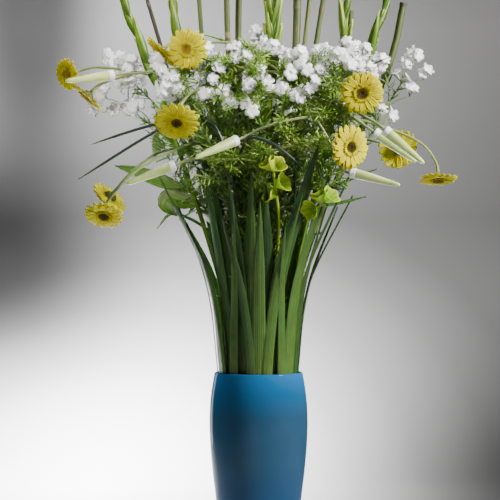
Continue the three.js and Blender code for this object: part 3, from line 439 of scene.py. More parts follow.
BARK = {
    "brown": (0.03, 0.02, 0.012), "olive": (0.045, 0.055, 0.010), "green": (0.055, 0.08, 0.014),
    "willow": (0.085, 0.105, 0.022),
}
bark_finish = {}
for kind, colour in BARK.items():
    pale = tuple(1.5 * part for part in colour)
    bark_finish[kind] = live_finish(
        f"bark_{kind}", [(0, colour), (0.6, pale), (1, colour)], 9, 0.35, 0.5,
        {"Roughness": 0.5, "Specular IOR Level": 0.4},
    )
joint_bark = live_finish(
    "joint_bark", [(0, (0.03, 0.02, 0.01)), (0.5, (0.24, 0.19, 0.09)), (1, (0.03, 0.02, 0.01))], 5, 0.3, 0.6,
    {"Roughness": 0.7},
)
cut_wood = live_finish("cut_wood", [(0, (0.55, 0.48, 0.28)), (1, (0.55, 0.48, 0.28))], 3, 0.2, 0.4, {"Roughness": 0.8})
CANE_BARK = ["brown", "green", "olive", "olive", "olive", "willow", "green", "olive", "green"]
CANE_STATIONS = 240
JOINT_NEAR, JOINT_HALF = 9, 3.2  # how near a joint every station is kept, and half a joint's own height
for number, (rim, low, high, top, radius, joints) in enumerate(CANES, 1):
    def off_joint(z):
        """The distance in millimetres from a height to the nearest joint."""
        return min(abs(z / MM - joint) for joint in joints)

    form = bmesh.new()
    stations = upright(rim, low, high, top, CANE_STATIONS)
    keep = [
        p for k, p in enumerate(stations)
        if k % 8 == 0 or k > CANE_STATIONS - 3 or off_joint(p.z) < JOINT_NEAR
    ]
    radii = []
    for p in keep:
        off = off_joint(p.z)
        swell = 0.9 * math.exp(-((off / 2.6) ** 2)) - 0.25 * math.exp(-(((off - 6) / 2.5) ** 2))
        radii.append((radius * 0.97 + swell) * MM)
    draw_rod(form, keep, radii, 14)
    for face in form.faces:
        if off_joint(face.calc_center_median().z) < JOINT_HALF:
            face.material_index = 1
        if len(face.verts) > 4:
            face.material_index = 2
    finishes = [bark_finish[CANE_BARK[number - 1]], joint_bark, cut_wood]
    show_piece(f"cane_shoot_{number}", form, "cane", finishes, f"cane_{number}")

# ---- The gladiolus, five cut plants in tight bud. Each is one stem with ribbed sword leaves folded
# along the midrib, which wrap the bundle, and a spike of buds that sit in pairs of pointed sheaths. ----
STEM_RING = 54
INNER_LEAVES, OUTER_LEAVES = 62, 68.5
LEAF_FOOT = 24
LEAF_HEIGHTS = [120, 230, 330, 450]
BUD_SPACING, BUD_OFFSET, BUD_LEAN = 43, 4.2, 0.17
# angle on the ring, places at the two marks, top, stem radius, height of the lowest bud, and the
# leaves, each with its angle, tip, width and layer
GLADIOLI = [
    (-90, (24, -64), (25, -72), 1130, 4, 845, [
        (-113, (-52, -112, 640), 23, INNER_LEAVES), (-90, (2, -118, 600), 24, OUTER_LEAVES),
        (-66, (104, -118, 704), 28, INNER_LEAVES)]),
    (-30, (146, -25), (151, -30), 1110, 3.8, 870, [
        (-42, (118, -96, 640), 26, OUTER_LEAVES), (-18, (164, -60, 662), 24, INNER_LEAVES)]),
    (20, (192, 60), (226, 70), 1070, 3.8, 860, [
        (6, (165, 25, 610), 24, OUTER_LEAVES), (30, (140, 85, 650), 24, INNER_LEAVES),
        (54, (100, 120, 610), 26, OUTER_LEAVES)]),
    (126, (-136, 46), (-152, 52), 1080, 3.8, 865, [
        (78, (40, 140, 655), 26, INNER_LEAVES), (102, (-35, 140, 625), 26, OUTER_LEAVES),
        (126, (-95, 120, 650), 24, INNER_LEAVES), (150, (-150, 80, 600), 24, OUTER_LEAVES)]),
    (198, (-195, -20), (-236, -24), 1060, 4, 840, [
        (174, (-168, 5, 640), 24, INNER_LEAVES), (198, (-170, -62, 642), 26, OUTER_LEAVES),
        (220, (-96, -104, 668), 23, INNER_LEAVES)]),
]
# further leaves that pack the bundle: number of the plant, angle at the rim and at the tip, height
# of the tip, width and layer
DEEP_LEAVES, SHORE_LEAVES, SHORE_SPREAD = 56.5, 70.6, 1.12
PACKED_LEAVES = [
    (1, -108, -96, 655, 25, DEEP_LEAVES), (1, -72, -84, 632, 25, DEEP_LEAVES), (1, -128, -108, 590, 17, SHORE_LEAVES),
    (1, -100, -118, 570, 16, SHORE_LEAVES), (1, -79, -60, 610, 18, SHORE_LEAVES), (2, -52, -44, 668, 25, DEEP_LEAVES),
    (2, -9, -20, 640, 24, DEEP_LEAVES), (2, -56, -70, 560, 16, SHORE_LEAVES), (2, -24, -34, 600, 17, SHORE_LEAVES),
    (3, 42, 34, 650, 25, DEEP_LEAVES), (3, 66, 74, 640, 25, DEEP_LEAVES), (3, 18, 8, 590, 17, SHORE_LEAVES),
    (4, 92, 98, 660, 25, DEEP_LEAVES), (4, 110, 102, 640, 24, DEEP_LEAVES), (4, 146, 154, 650, 25, DEEP_LEAVES),
    (5, 166, 160, 655, 24, DEEP_LEAVES), (5, 182, 188, 600, 17, SHORE_LEAVES), (5, 216, 224, 664, 25, DEEP_LEAVES),
    (5, 234, 226, 620, 24, DEEP_LEAVES), (5, 212, 200, 560, 16, SHORE_LEAVES),
]


def draw_leaf(form, stations, face, widths, thickness, across, lift, coat=0):
    """A blade along its stations: widths run from base to tip, and lift(x, v) raises it off its
    middle line, x from -1 to 1 across it."""
    last = len(stations) - 1
    ways = directions(stations)

    def place(u, v):
        k = round(v * last)
        side = face.cross(ways[k]).normalized()
        x = 1 - 2 * u
        return stations[k] + side * (x * share(widths, v) / 2) + ways[k].cross(side) * lift(x, v)

    part = new_sheet(across, last, place)
    bmesh.ops.solidify(part, geom=part.faces, thickness=thickness)
    add_part(form, part, coat)


def sizes_mm(*sizes):
    return [size * MM for size in sizes]


def lit_through(weight, scale, *reach):
    """The sockets that let light sink in: how much, how deep, and the reach of red, green and blue."""
    given = {"Subsurface Weight": weight, "Subsurface Scale": scale}
    return {**given, "Subsurface Radius": reach} if reach else given


# Each green is given for foot, middle and tip; the paler foot is painted light, standing for grey-green light
# reflected onto the low leaves.
SWORD_GREENS = [
    ((0.075, 0.14, 0.022), (0.045, 0.105, 0.013), (0.03, 0.07, 0.012)),
    ((0.05, 0.105, 0.016), (0.022, 0.062, 0.009), (0.018, 0.045, 0.009)),
]
sword_finish = [
    live_finish(
        f"sword_leaf_{k}", [(0, foot), (0.5, middle), (1, tip)], 7, 0.55, 0.8,
        {"Roughness": 0.42, "Specular IOR Level": 0.35, **lit_through(0.08, 0.004, 0.4, 1.0, 0.2)},
    )
    for k, (foot, middle, tip) in enumerate(SWORD_GREENS)
]
spike_finish = live_finish(
    "bud_sheath",
    [(0, (0.035, 0.09, 0.004)), (0.5, (0.085, 0.18, 0.006)), (0.85, (0.17, 0.28, 0.012)), (1, (0.30, 0.40, 0.05))],
    4, 0.6, 0.5, {"Roughness": 0.42, **lit_through(0.15, 0.004, 0.4, 1.0, 0.2)},
)


def stamp(form, pattern, laid, coat):
    """Adds a copy of a finished pattern to a piece, laid by a matrix, in one of the piece's materials."""
    copy = pattern.copy()
    copy.transform(laid)
    copy.polygons.foreach_set("material_index", [coat] * len(copy.polygons))
    form.from_mesh(copy)
    bpy.data.meshes.remove(copy)


def lay_on(base, axis, spin=0.0, size=1.0):
    """The matrix that stands a pattern on base with its Z along axis, turned by spin."""
    turn = Vector((0, 0, 1)).rotation_difference(axis).to_matrix().to_4x4()
    return Matrix.Translation(base) @ turn @ Matrix.Rotation(spin, 4, "Z") @ Matrix.Scale(size, 4)


def ray_at(turn):
    """The level direction at an angle."""
    return Vector((math.cos(turn), math.sin(turn), 0))


def wrap(x, v):
    """How a bud's sheath closes round it."""
    return (-6.4 * x * x + 1.2 * (1 - x * x)) * (1 - 0.5 * v) * MM


# one sheathed bud, 80 mm tall about its middle: the closed flower and the two sheaths that clasp it
CORE_STEPS, SHEATH_STEPS = 14, 12
form = new_form()
core = points_mm([(0, 0, -34 + 70 * k / CORE_STEPS) for k in range(CORE_STEPS + 1)])
fullness = [math.sin(math.pi * min(1, 0.06 + 0.94 * k / CORE_STEPS)) for k in range(CORE_STEPS + 1)]
draw_rod(form, core, sizes_mm(*(max(0.15, 4.9 * full**0.8) for full in fullness)), 10)
for side, start, stop, wide in ((1, -42, 42, 8.4), (-1, -36, 33, 7.4)):
    stations = []
    for k in range(SHEATH_STEPS + 1):
        t = k / SHEATH_STEPS
        bow = 2.0 + 4.0 * math.sin(math.pi * min(1, 0.15 + 0.85 * t)) + 1.8 * max(0, t - 0.8) * 5
        stations.append(Vector((0, side * bow * (1 - 0.25 * t), start + (stop - start) * t)) * MM)
    widths = sizes_mm(3.5, wide * 1.5, wide * 1.9, wide * 1.6, wide * 0.9, 0.6)
    draw_leaf(form, stations, Vector((0, side, 0)), widths, 0.5 * MM, 6, wrap)
bud_pattern = as_mesh("sheathed_bud", form)

for number, (angle, low, high, top, radius, buds_from, leaves) in enumerate(GLADIOLI, 1):
    form = new_form()
    around = ray_at(math.radians(angle))
    rim = (STEM_RING * around.x, STEM_RING * around.y)
    stations = upright(rim, low, high, top, 72)
    draw_rod(form, stations, [radius * part * MM for part in (1, 1, 1, 0.9, 0.55)], 12, 2)
    luck = random.Random(40 + number)
    blades = [(leaf_angle, leaf_angle, tip, width, layer) for leaf_angle, tip, width, layer in leaves]
    for owner, leaf_angle, tip_angle, tip_height, width, layer in PACKED_LEAVES:
        if owner == number:
            out = layer * spread(tip_height) * (SHORE_SPREAD if layer == SHORE_LEAVES else 1.0)
            tip_turn = math.radians(tip_angle)
            tip = (out * math.cos(tip_turn), out * math.sin(tip_turn), tip_height)
            blades.append((leaf_angle, tip_angle, tip, width, layer))
    for leaf_number, (leaf_angle, tip_angle, tip, width, layer) in enumerate(blades):
        foot = Vector((rim[0] * BUNDLE_FOOT, rim[1] * BUNDLE_FOOT, LEAF_FOOT)) * MM
        ring = []
        for z in LEAF_HEIGHTS:
            risen = max(0, z - VASE_HEIGHT) / (tip[2] - VASE_HEIGHT)
            turn = math.radians(leaf_angle + (tip_angle - leaf_angle) * risen)
            ring += trunk(layer * math.cos(turn), layer * math.sin(turn), [z])
        leaf_way = flow([foot, *ring, Vector(tip) * MM], 44)
        ripple, phase = luck.uniform(0.3, 0.9) * MM, luck.uniform(0, 6)

        def folded(x, v):
            midrib = 0.085 * width * (1 - abs(x)) ** 0.8 * MM
            return midrib + ripple * x * math.sin(9 * v + phase) + 0.25 * MM * math.cos(11 * x)

        blade = [7, 16, width, width, width * 0.85, 2.5]
        widths = [share(blade, k / 22) * MM for k in range(22)] + [0.8 * MM]
        face = ray_at(math.radians(leaf_angle))
        draw_leaf(form, leaf_way, face, widths, 0.8 * MM, 8, folded, (leaf_number + number) % 2)
    start = min(stations, key=lambda p: abs(p.z - buds_from * MM))
    lean = (stations[-1] - start).normalized()
    buds = (top - buds_from) // BUD_SPACING + 1
    for k in range(buds):
        size = 1.25 - 0.45 * k / buds
        side = 1 if k % 2 == 0 else -1
        for side in (side, -side) if number == 1 else (side,):  # the foremost spike is the fullest
            tilt = side * ray_at(0.5 * (number - 1))
            axis = (lean + tilt * BUD_LEAN).normalized()
            at = start + lean * (k * BUD_SPACING * MM) + tilt * (BUD_OFFSET * size * MM)
            spin = math.atan2(tilt.y, tilt.x) - math.pi / 2 + luck.uniform(-0.25, 0.25)
            stamp(form, bud_pattern, lay_on(at, axis, spin, size), 2)
    finishes = [*sword_finish, spike_finish]
    show_piece(f"gladiolus_plant_{number}", form, "gladiolus_green", finishes, f"gladiolus_{number}")

# ---- The mini gerberas, eleven cut heads. Each has two rows of grooved lemon petals and a ring of
# short ones round an ochre or a brown eye, on a green cup of small pointed bracts. ----
GERBERAS = [  # centre of the eye, the way that it faces, radius
    ((-121, -108, 854), (-0.3, -0.94, -0.18), 37.5), ((-166, -66, 853), (-0.68, -0.15, -0.7), 38),
    ((-332, -34, 818), (-0.7, -0.68, -0.2), 30), ((-294, -66, 777), (-0.67, -0.1, -0.74), 37),
    ((-138, -130, 729), (-0.05, -0.72, -0.69), 41), ((-255, -70, 604), (-0.6, 0.35, -0.7), 36),
    ((-261, -120, 572), (-0.1, -0.6, -0.8), 35.5), ((174, -120, 778), (0.1, -0.97, -0.2), 39),
    ((153, -140, 686), (0.55, -0.82, -0.1), 40), ((241, -40, 688), (0.3, 0.92, -0.2), 37),
    ((309, -50, 636), (0.02, -0.25, -0.97), 34),
]
FULL_RADIUS, CALYX_DEPTH = 38, 9
OCHRE_HEADS = 4  # the first four heads have the paler eye
PETAL_ROWS = [  # count, reach as a share of the radius, heights from root to tip, width
    (17, 1.0, (-0.6, 0.6, 1.6, 1.2, -0.6), 12.2), (15, 0.93, (0.4, 2.2, 3.6, 3.6, 2.4), 11.2),
    (26, 0.44, (1.2, 3.2, 4.6, 5.0, 4.8), 2.9),
]
PETAL_SHAPE = [0.36, 0.54, 0.78, 0.95, 1.0, 0.94, 0.72, 0.28]
EYE_FLORETS, FLORET_TURN = 90, 2.399963
CALYX_BRACTS = 36
petal_finish = live_finish(
    "lemon_petal",
    [(0, (0.32, 0.23, 0.0)), (0.25, (0.50, 0.41, 0.0)), (0.8, (0.52, 0.46, 0.0)), (1, (0.50, 0.47, 0.0))],
    3, 0.45, 0.8, {"Roughness": 0.6, "Specular IOR Level": 0.15, **lit_through(0.2, 0.003, 1.0, 0.8, 0.1)},
)
eye_finish = [
    live_finish(name, stops, 2, 0.3, 0.5, {"Roughness": 0.75})
    for name, stops in (
        ("ochre_eye", [(0, (0.26, 0.15, 0.005)), (0.6, (0.46, 0.30, 0.01)), (1, (0.66, 0.50, 0.02))]),
        ("brown_eye", [(0, (0.05, 0.035, 0.01)), (0.6, (0.13, 0.09, 0.012)), (1, (0.34, 0.24, 0.02))]),
    )
]
calyx_finish = live_finish(
    "calyx_green", [(0, (0.16, 0.22, 0.06)), (0.6, (0.12, 0.19, 0.045)), (1, (0.08, 0.13, 0.04))], 3, 0.4, 0.6,
    {"Roughness": 0.6},
)


def profile_mm(profile):
    return [(radius * MM, height * MM) for radius, height in profile]


form = new_form()
draw_rod(form, points_mm([(0, 0, z) for z in (-1.2, 0, 1.3, 2.2, 2.8)]), sizes_mm(0.5, 0.55, 0.5, 0.34, 0.12), 5)
eye_floret = as_mesh("eye_floret", form)

for number, (centre, face, radius) in enumerate(GERBERAS, 1):
    form = new_form()
    luck = random.Random(200 + number)
    for row, (count, reach_share, heights, width) in enumerate(PETAL_ROWS):
        for k in range(count):
            ray = ray_at(2 * math.pi * (k + 0.5 * row + luck.uniform(-0.14, 0.14)) / count)
            reach = radius * reach_share * luck.uniform(0.92, 1.0)
            root = 8.0 - row
            dip = luck.uniform(-1.6, 1.2)
            way = [
                (ray * (root + (reach - root) * t) + Vector((0, 0, share(heights, t) + dip * t * t))) * MM
                for t in (j / 7 for j in range(8))
            ]
            wide = width * luck.uniform(0.9, 1.1) * radius / FULL_RADIUS
            curl = luck.uniform(-0.25, 0.5)

            def grooved(x, v):
                return (0.32 * math.cos(2.6 * math.pi * x) + curl * x * x * 2.2 - 0.5 * curl) * MM

            draw_leaf(form, way, Vector((0, 0, 1)), [w * wide * MM for w in PETAL_SHAPE], 0.45 * MM, 6, grooved)
    dome = [(0, 0.4), (9.0, 0.2), (9.2, 1.2), (7.2, 2.2), (4.0, 2.0), (1.5, 1.6), (0, 1.5)]
    draw_turned(form, profile_mm(dome), 24, Matrix(), 1)
    for k in range(EYE_FLORETS):
        out = 8.8 * math.sqrt((k + 0.5) / EYE_FLORETS)
        turn = k * FLORET_TURN
        rise = 2.2 + 1.1 * math.sin(math.pi * out / 10)
        base = Vector((out * math.cos(turn), out * math.sin(turn), rise)) * MM
        lean = Vector((base.x * 40, base.y * 40, 1)).normalized()
        stamp(form, eye_floret, lay_on(base, lean, k, 0.7 + 0.7 * out / 9.2), 1)
    cup = [(0, -CALYX_DEPTH), (2.9, -CALYX_DEPTH), (4.2, -8.4), (7.2, -6.4), (9.6, -3.6), (10.4, -1.3), (9.6, -0.2)]
    draw_turned(form, profile_mm([*cup, (0, 0.3)]), 24, Matrix(), 2)
    for k in range(CALYX_BRACTS):
        ray = ray_at(2 * math.pi * (k + 0.5 * (k % 2)) / (CALYX_BRACTS // 2))
        longer = 1 if k % 2 else 0.78
        bract = ((4.4, -8.6), (8.2, -6.6), (10.8, -3.4 * longer), (12.6 * longer + 1.4, -1.0 * longer))
        way = [(ray * r + Vector((0, 0, z))) * MM for r, z in bract]
        bract_face = ray - Vector((0, 0, 0.6))
        widths = sizes_mm(2.6, 3.0, 2.6, 1.8, 0.4)
        draw_leaf(form, flow(way, 5), bract_face, widths, 0.4 * MM, 2, lambda x, v: -0.3 * x * x * MM, 2)
    facing = Vector(face).normalized()
    bmesh.ops.transform(form, matrix=lay_on(Vector(centre) * MM, facing, luck.uniform(0, 1)), verts=form.verts)
    finishes = [petal_finish, eye_finish[number > OCHRE_HEADS], calyx_finish]
    show_piece(f"gerbera_head_{number}", form, "petal_yellow", finishes, f"gerbera_bloom_{number}")

# ---- The gerbera stems: pale green, round and finely downed, each bent across the crown from the
# back of its head to its water tube. They rest on the canes and leaves that they pass. ----
STEM_ROUTES = [
    [(-118, -99, 856), (-114, -86, 858), (-101, -67, 882), (-68, -49, 878), (-36, -37, 861), (0, -40, 842),
     (34, -49, 822), (68, -61, 802), (102, -74, 784), (135, -88, 764), (169, -103, 745), (202, -118, 725),
     (228, -122, 702)],
    [(-160, -65, 860), (-150, -62, 870), (-113, -66, 867), (-76, -66, 870), (-39, -69, 866), (-6, -74, 848),
     (25, -75, 826), (58, -74, 807), (90, -77, 786), (122, -81, 765), (154, -86, 744), (185, -92, 722),
     (214, -93, 701)],
    [(-326, -28, 820), (-316, -18, 823), (-289, -26, 830), (-258, -26, 829), (-229, -18, 826), (-202, -3, 822),
     (-176, 14, 819), (-152, 34, 816), (-129, 55, 814), (-102, 72, 813), (-73, 85, 814), (-43, 97, 816),
     (-10, 105, 805)],
    [(-288, -65, 784), (-278, -64, 794), (-256, -48, 806), (-222, -41, 816), (-189, -29, 823), (-160, -10, 829),
     (-132, 11, 835), (-104, 32, 840), (-76, 54, 845), (-47, 74, 849), (-15, 89, 853), (18, 101, 856), (49, 109, 841)],
    [(-138, -123, 735), (-137, -113, 745), (-121, -95, 775), (-86, -85, 790), (-46, -74, 789), (-8, -66, 783),
     (29, -71, 775), (63, -82, 764), (91, -102, 742), (111, -104, 713), (126, -105, 682), (142, -107, 649),
     (176, -115, 639)],
    [(-249, -73, 611), (-241, -78, 620), (-221, -69, 644), (-198, -58, 665), (-176, -39, 680), (-153, -17, 689),
     (-130, 6, 696), (-105, 28, 701), (-80, 49, 705), (-54, 69, 708), (-24, 84, 709), (8, 93, 708), (40, 101, 693)],
    [(-260, -114, 579), (-259, -106, 590), (-237, -113, 620), (-207, -101, 648), (-174, -85, 670), (-141, -63, 686),
     (-110, -38, 701), (-83, -10, 717), (-56, 20, 731), (-27, 49, 741), (5, 76, 747), (37, 101, 753), (70, 109, 740)],
    [(173, -111, 780), (172, -97, 783), (134, -78, 800), (94, -76, 811), (52, -79, 815), (10, -82, 819),
     (-31, -84, 824), (-72, -84, 826), (-113, -78, 824), (-153, -74, 821), (-195, -69, 818), (-236, -64, 815),
     (-269, -79, 810)],
    [(148, -132, 687), (140, -121, 688), (116, -107, 693), (88, -109, 693), (60, -112, 690), (33, -109, 684),
     (6, -105, 677), (-22, -106, 671), (-48, -114, 666), (-76, -117, 666), (-103, -116, 669), (-129, -110, 662),
     (-162, -115, 649)],
    [(238, -49, 690), (234, -62, 693), (207, -54, 699), (181, -42, 706), (157, -26, 714), (134, -9, 720),
     (111, 9, 725), (89, 28, 728), (66, 46, 732), (42, 63, 737), (17, 78, 742), (-7, 93, 750), (-40, 101, 738)],
    [(309, -48, 645), (308, -44, 659), (288, -52, 690), (257, -60, 709), (222, -66, 722), (187, -72, 733),
     (152, -84, 738), (117, -98, 739), (82, -112, 738), (45, -119, 731), (8, -119, 720), (-26, -113, 704),
     (-54, -131, 691)],
]
GERBERA_STEM = 2.4
down_finish = live_finish(
    "downy_stem", [(0, (0.20, 0.25, 0.06)), (0.4, (0.13, 0.19, 0.035)), (1, (0.20, 0.24, 0.08))], 8, 0.2, 0.5,
    {"Roughness": 0.6, "Sheen Weight": 0.35, "Sheen Roughness": 0.4, **lit_through(0.1, 0.003)},
)
for number, route in enumerate(STEM_ROUTES, 1):
    form = bmesh.new()
    stations = flow(points_mm(route), 70)
    swollen = [1.25 - 0.25 * min(1, k / 5) - 0.06 * math.sin(k * 0.9) for k in range(len(stations))]
    draw_rod(form, stations, [GERBERA_STEM * part * MM for part in swollen], 12)
    show_piece(f"gerbera_stalk_{number}", form, "gerbera_green", [down_finish], f"gerbera_stem_{number}")

# ---- The water tubes: thin moulded plastic, translucent and greenish with the water inside, each
# with a pale ribbed rubber cap pushed on its mouth, through which the gerbera's cut end stands. ----
TUBES = [  # middle of the cap's mouth, a point beyond the tip
    ((212, -120, 716), (281, -130, 656)), ((196, -92, 714), (262, -95, 667)), ((-30, 100, 812), (50, 118, 785)),
    ((30, 104, 850), (105, 124, 815)), ((155, -110, 645), (234, -130, 623)), ((20, 96, 702), (95, 116, 668)),
    ((50, 104, 748), (125, 122, 716)), ((-249, -70, 813), (-323, -105, 800)), ((-142, -112, 657), (-220, -125, 626)),
    ((-20, 96, 745), (-95, 114, 718)), ((-37, -120, 699), (-103, -163, 668)),
]
TUBE_LENGTH, CAP_RADIUS, CAP_LENGTH, SOCKET = 88, 9.5, 9.5, 22.3
SOCKET_RADIUS, CAP_BORE = GERBERA_STEM + 1.2, GERBERA_STEM + 0.9
tube_plastic, tree, shader = new_finish(
    "tube_plastic",
    {"Roughness": 0.28, **lit_through(0.5, 0.01, 1.0, 1.0, 0.7), "Sheen Weight": 0.6, "Sheen Roughness": 0.25,
     "Coat Weight": 0.3, "Coat Roughness": 0.15},
)
tone = colour_ramp(tree, grain(tree, 60, 2), [(0.3, (0.36, 0.47, 0.12)), (0.7, (0.50, 0.58, 0.24))])
tree.links.new(tone, shader.inputs["Base Color"])
cap_rubber, tree, shader = new_finish("cap_rubber", {"Roughness": 0.5, **lit_through(0.2, 0.004)})
tone = colour_ramp(tree, grain(tree, 90, 3), [(0.3, (0.74, 0.74, 0.76)), (0.7, (0.84, 0.84, 0.87))])
tree.links.new(tone, shader.inputs["Base Color"])
shell = [(0, SOCKET + 0.4), (SOCKET_RADIUS, SOCKET + 0.4), (SOCKET_RADIUS, 3), (7.9, 3)]
shell += [(8.6 - 4.9 * max(0, (z - 12) / 71) ** 1.35, z) for z in range(12, 84, 5)]
shell += [(3.3, 84.6), (2.5, 86.6), (1.3, 87.7), (0, TUBE_LENGTH)]
collar = [(CAP_BORE, 0.4), (6.5, 0), (8.9, 0.3), (CAP_RADIUS, 1.6), (CAP_RADIUS, 3.4), (8.8, 4.2)]
for ridge in range(2):
    collar += [(9.3, 5.2 + 2.1 * ridge), (8.9, 6.2 + 2.1 * ridge)]
collar += [(9.1, CAP_LENGTH - 0.6), (8.8, CAP_LENGTH + 0.2), (7.7, CAP_LENGTH - 0.4), (7.7, 4.5), (CAP_BORE, 4.5)]
for number, (mouth, beyond) in enumerate(TUBES, 1):
    form = bmesh.new()
    laid = lay_on(Vector(mouth) * MM, (Vector(beyond) - Vector(mouth)).normalized())
    draw_turned(form, profile_mm(shell), 28, laid)
    draw_turned(form, profile_mm([*collar, collar[0]]), 28, laid, 1)
    show_piece(f"florist_tube_{number}", form, "tube_plastic", [tube_plastic, cap_rubber], f"water_tube_{number}")

# ---- The bells of Ireland: one forked stem, with papery lime cups that open like shallow bells, net
# veined and a little ruffled at the rim. ----
BELL_STEM_ROUTE = [
    (16, -30, 12), (16, -31, 59), (17, -32, 106), (18, -34, 152), (18, -35, 199), (19, -36, 245), (20, -38, 292),
    (21, -40, 338), (22, -44, 384), (24, -48, 430), (28, -56, 476), (33, -66, 521), (35, -79, 565), (30, -98, 607),
    (24, -118, 648),
]
BELL_FORK_ROUTE = [
    (33, -66, 521), (47, -67, 541), (61, -70, 560), (79, -79, 574), (97, -93, 585), (112, -108, 596),
]
BELL_CUPS = [  # root of the cup, the way that it opens
    ((31, -98, 607), (-0.9, -0.4, 0.2)), ((24, -118, 648), (0.4, -0.7, 0.6)), ((97, -93, 585), (-0.64, -0.74, -0.21)),
    ((112, -108, 596), (0.61, -0.51, 0.61)), ((24, -118, 648), (-0.57, -0.29, 0.77)),
]
MORE_CUPS = [((29, -104, 622), (0.75, -0.5, 0.35)), ((108, -104, 592), (-0.35, -0.3, 0.9))]
CUP_SIZE, CUP_SEEDS = 1.25, 4
bell_finish = live_finish(
    "lime_bell", [(0, (0.09, 0.17, 0.004)), (0.5, (0.26, 0.40, 0.006)), (1, (0.44, 0.58, 0.02))], 10, 0.3, 0.6,
    {"Roughness": 0.5, **lit_through(0.3, 0.005, 0.6, 1.0, 0.2)},
)
form = new_form()
draw_rod(form, flow(points_mm(BELL_STEM_ROUTE), 48), sizes_mm(2.6, 2.6, 2.2), 8)
draw_rod(form, flow(points_mm(BELL_FORK_ROUTE), 16), sizes_mm(2.2, 1.9), 8)
for at, axis in [*BELL_CUPS, *MORE_CUPS]:
    laid = lay_on(Vector(at) * MM, Vector(axis).normalized(), 0, CUP_SIZE)

    def cup(u, v):
        turn = 2 * math.pi * u
        out = share([0.6, 3.5, 6.4, 8.6, 10.6, 12.4, 13.8], v) * (1 + 0.06 * v * math.cos(5 * turn))
        rise = share([-1.5, 0.8, 4.2, 8.0, 11.4, 13.9, 15.4], v) + 1.2 * v * v * math.cos(5 * turn)
        return laid @ (Vector((out * math.cos(turn), out * math.sin(turn), rise)) * MM)

    part = new_sheet(30, 8, cup)
    bmesh.ops.remove_doubles(part, verts=part.verts, dist=1e-7)
    bmesh.ops.solidify(part, geom=part.faces, thickness=0.5 * MM)
    add_part(form, part, 0)
    for k in range(CUP_SEEDS):
        turn = math.pi * k / 2
        seed = [(2.2 * math.cos(turn), 2.2 * math.sin(turn), z) for z in (0.5, 3, 5.5, 7)]
        draw_rod(form, [laid @ p for p in points_mm(seed)], sizes_mm(1.6, 2.2, 1.6, 0.3), 8)
show_piece("bells_of_ireland_spray", form, "bell_lime", [bell_finish], "bells_of_ireland")

# ---- The steel grass: one tuft of stiff four-edged blades, almost black, that bow over the crown and
# taper to a point. ----
GRASS_TUFT = [
    (-23, -23, 12), (-25, -25, 65), (-26, -26, 118), (-27, -27, 171), (-28, -28, 223), (-29, -29, 276),
    (-31, -31, 329), (-34, -34, 381), (-37, -38, 434), (-39, -46, 486), (-40, -57, 537), (-41, -69, 589),
    (-42, -80, 640),
]
GRASS_BLADES = [
    [(-42, -80, 640), (-58, -84, 687), (-81, -87, 732), (-127, -89, 746), (-171, -96, 718), (-216, -106, 690),
     (-260, -118, 661), (-304, -130, 632)],
    [(-42, -80, 640), (-54, -81, 681), (-75, -81, 719), (-113, -79, 742), (-156, -85, 733), (-199, -93, 721),
     (-241, -103, 707), (-283, -112, 692)],
    [(-42, -80, 640), (-35, -95, 662), (-28, -109, 684), (-17, -124, 703), (8, -132, 699), (32, -134, 686),
     (54, -131, 669), (75, -128, 652)],
    [(-42, -80, 640), (-17, -70, 683), (8, -59, 727), (39, -54, 766), (83, -55, 793), (131, -58, 808), (179, -57, 826),
     (226, -52, 846)],
]
BLADE_RADII, BLADE_STEPS = [2.4, 2.8, 3.2, 3.3, 3.3, 3.3, 3.0, 0.7], 44
grass_finish = live_finish(
    "steel_blade", [(0, (0.03, 0.055, 0.018)), (0.4, (0.012, 0.022, 0.014)), (1, (0.01, 0.016, 0.012))], 4, 0.4, 0.4,
    {"Roughness": 0.35, "Specular IOR Level": 0.5},
)
form = new_form()
draw_rod(form, flow(points_mm(GRASS_TUFT), 40), sizes_mm(2.3, 2.3), 6)
for route in GRASS_BLADES:
    radii = [share(BLADE_RADII, k / BLADE_STEPS) * MM for k in range(BLADE_STEPS + 1)]
    draw_rod(form, flow(points_mm(route), BLADE_STEPS), radii, 4)
show_piece("steel_grass_tuft", form, "grass_dark", [grass_finish], "steel_grass")

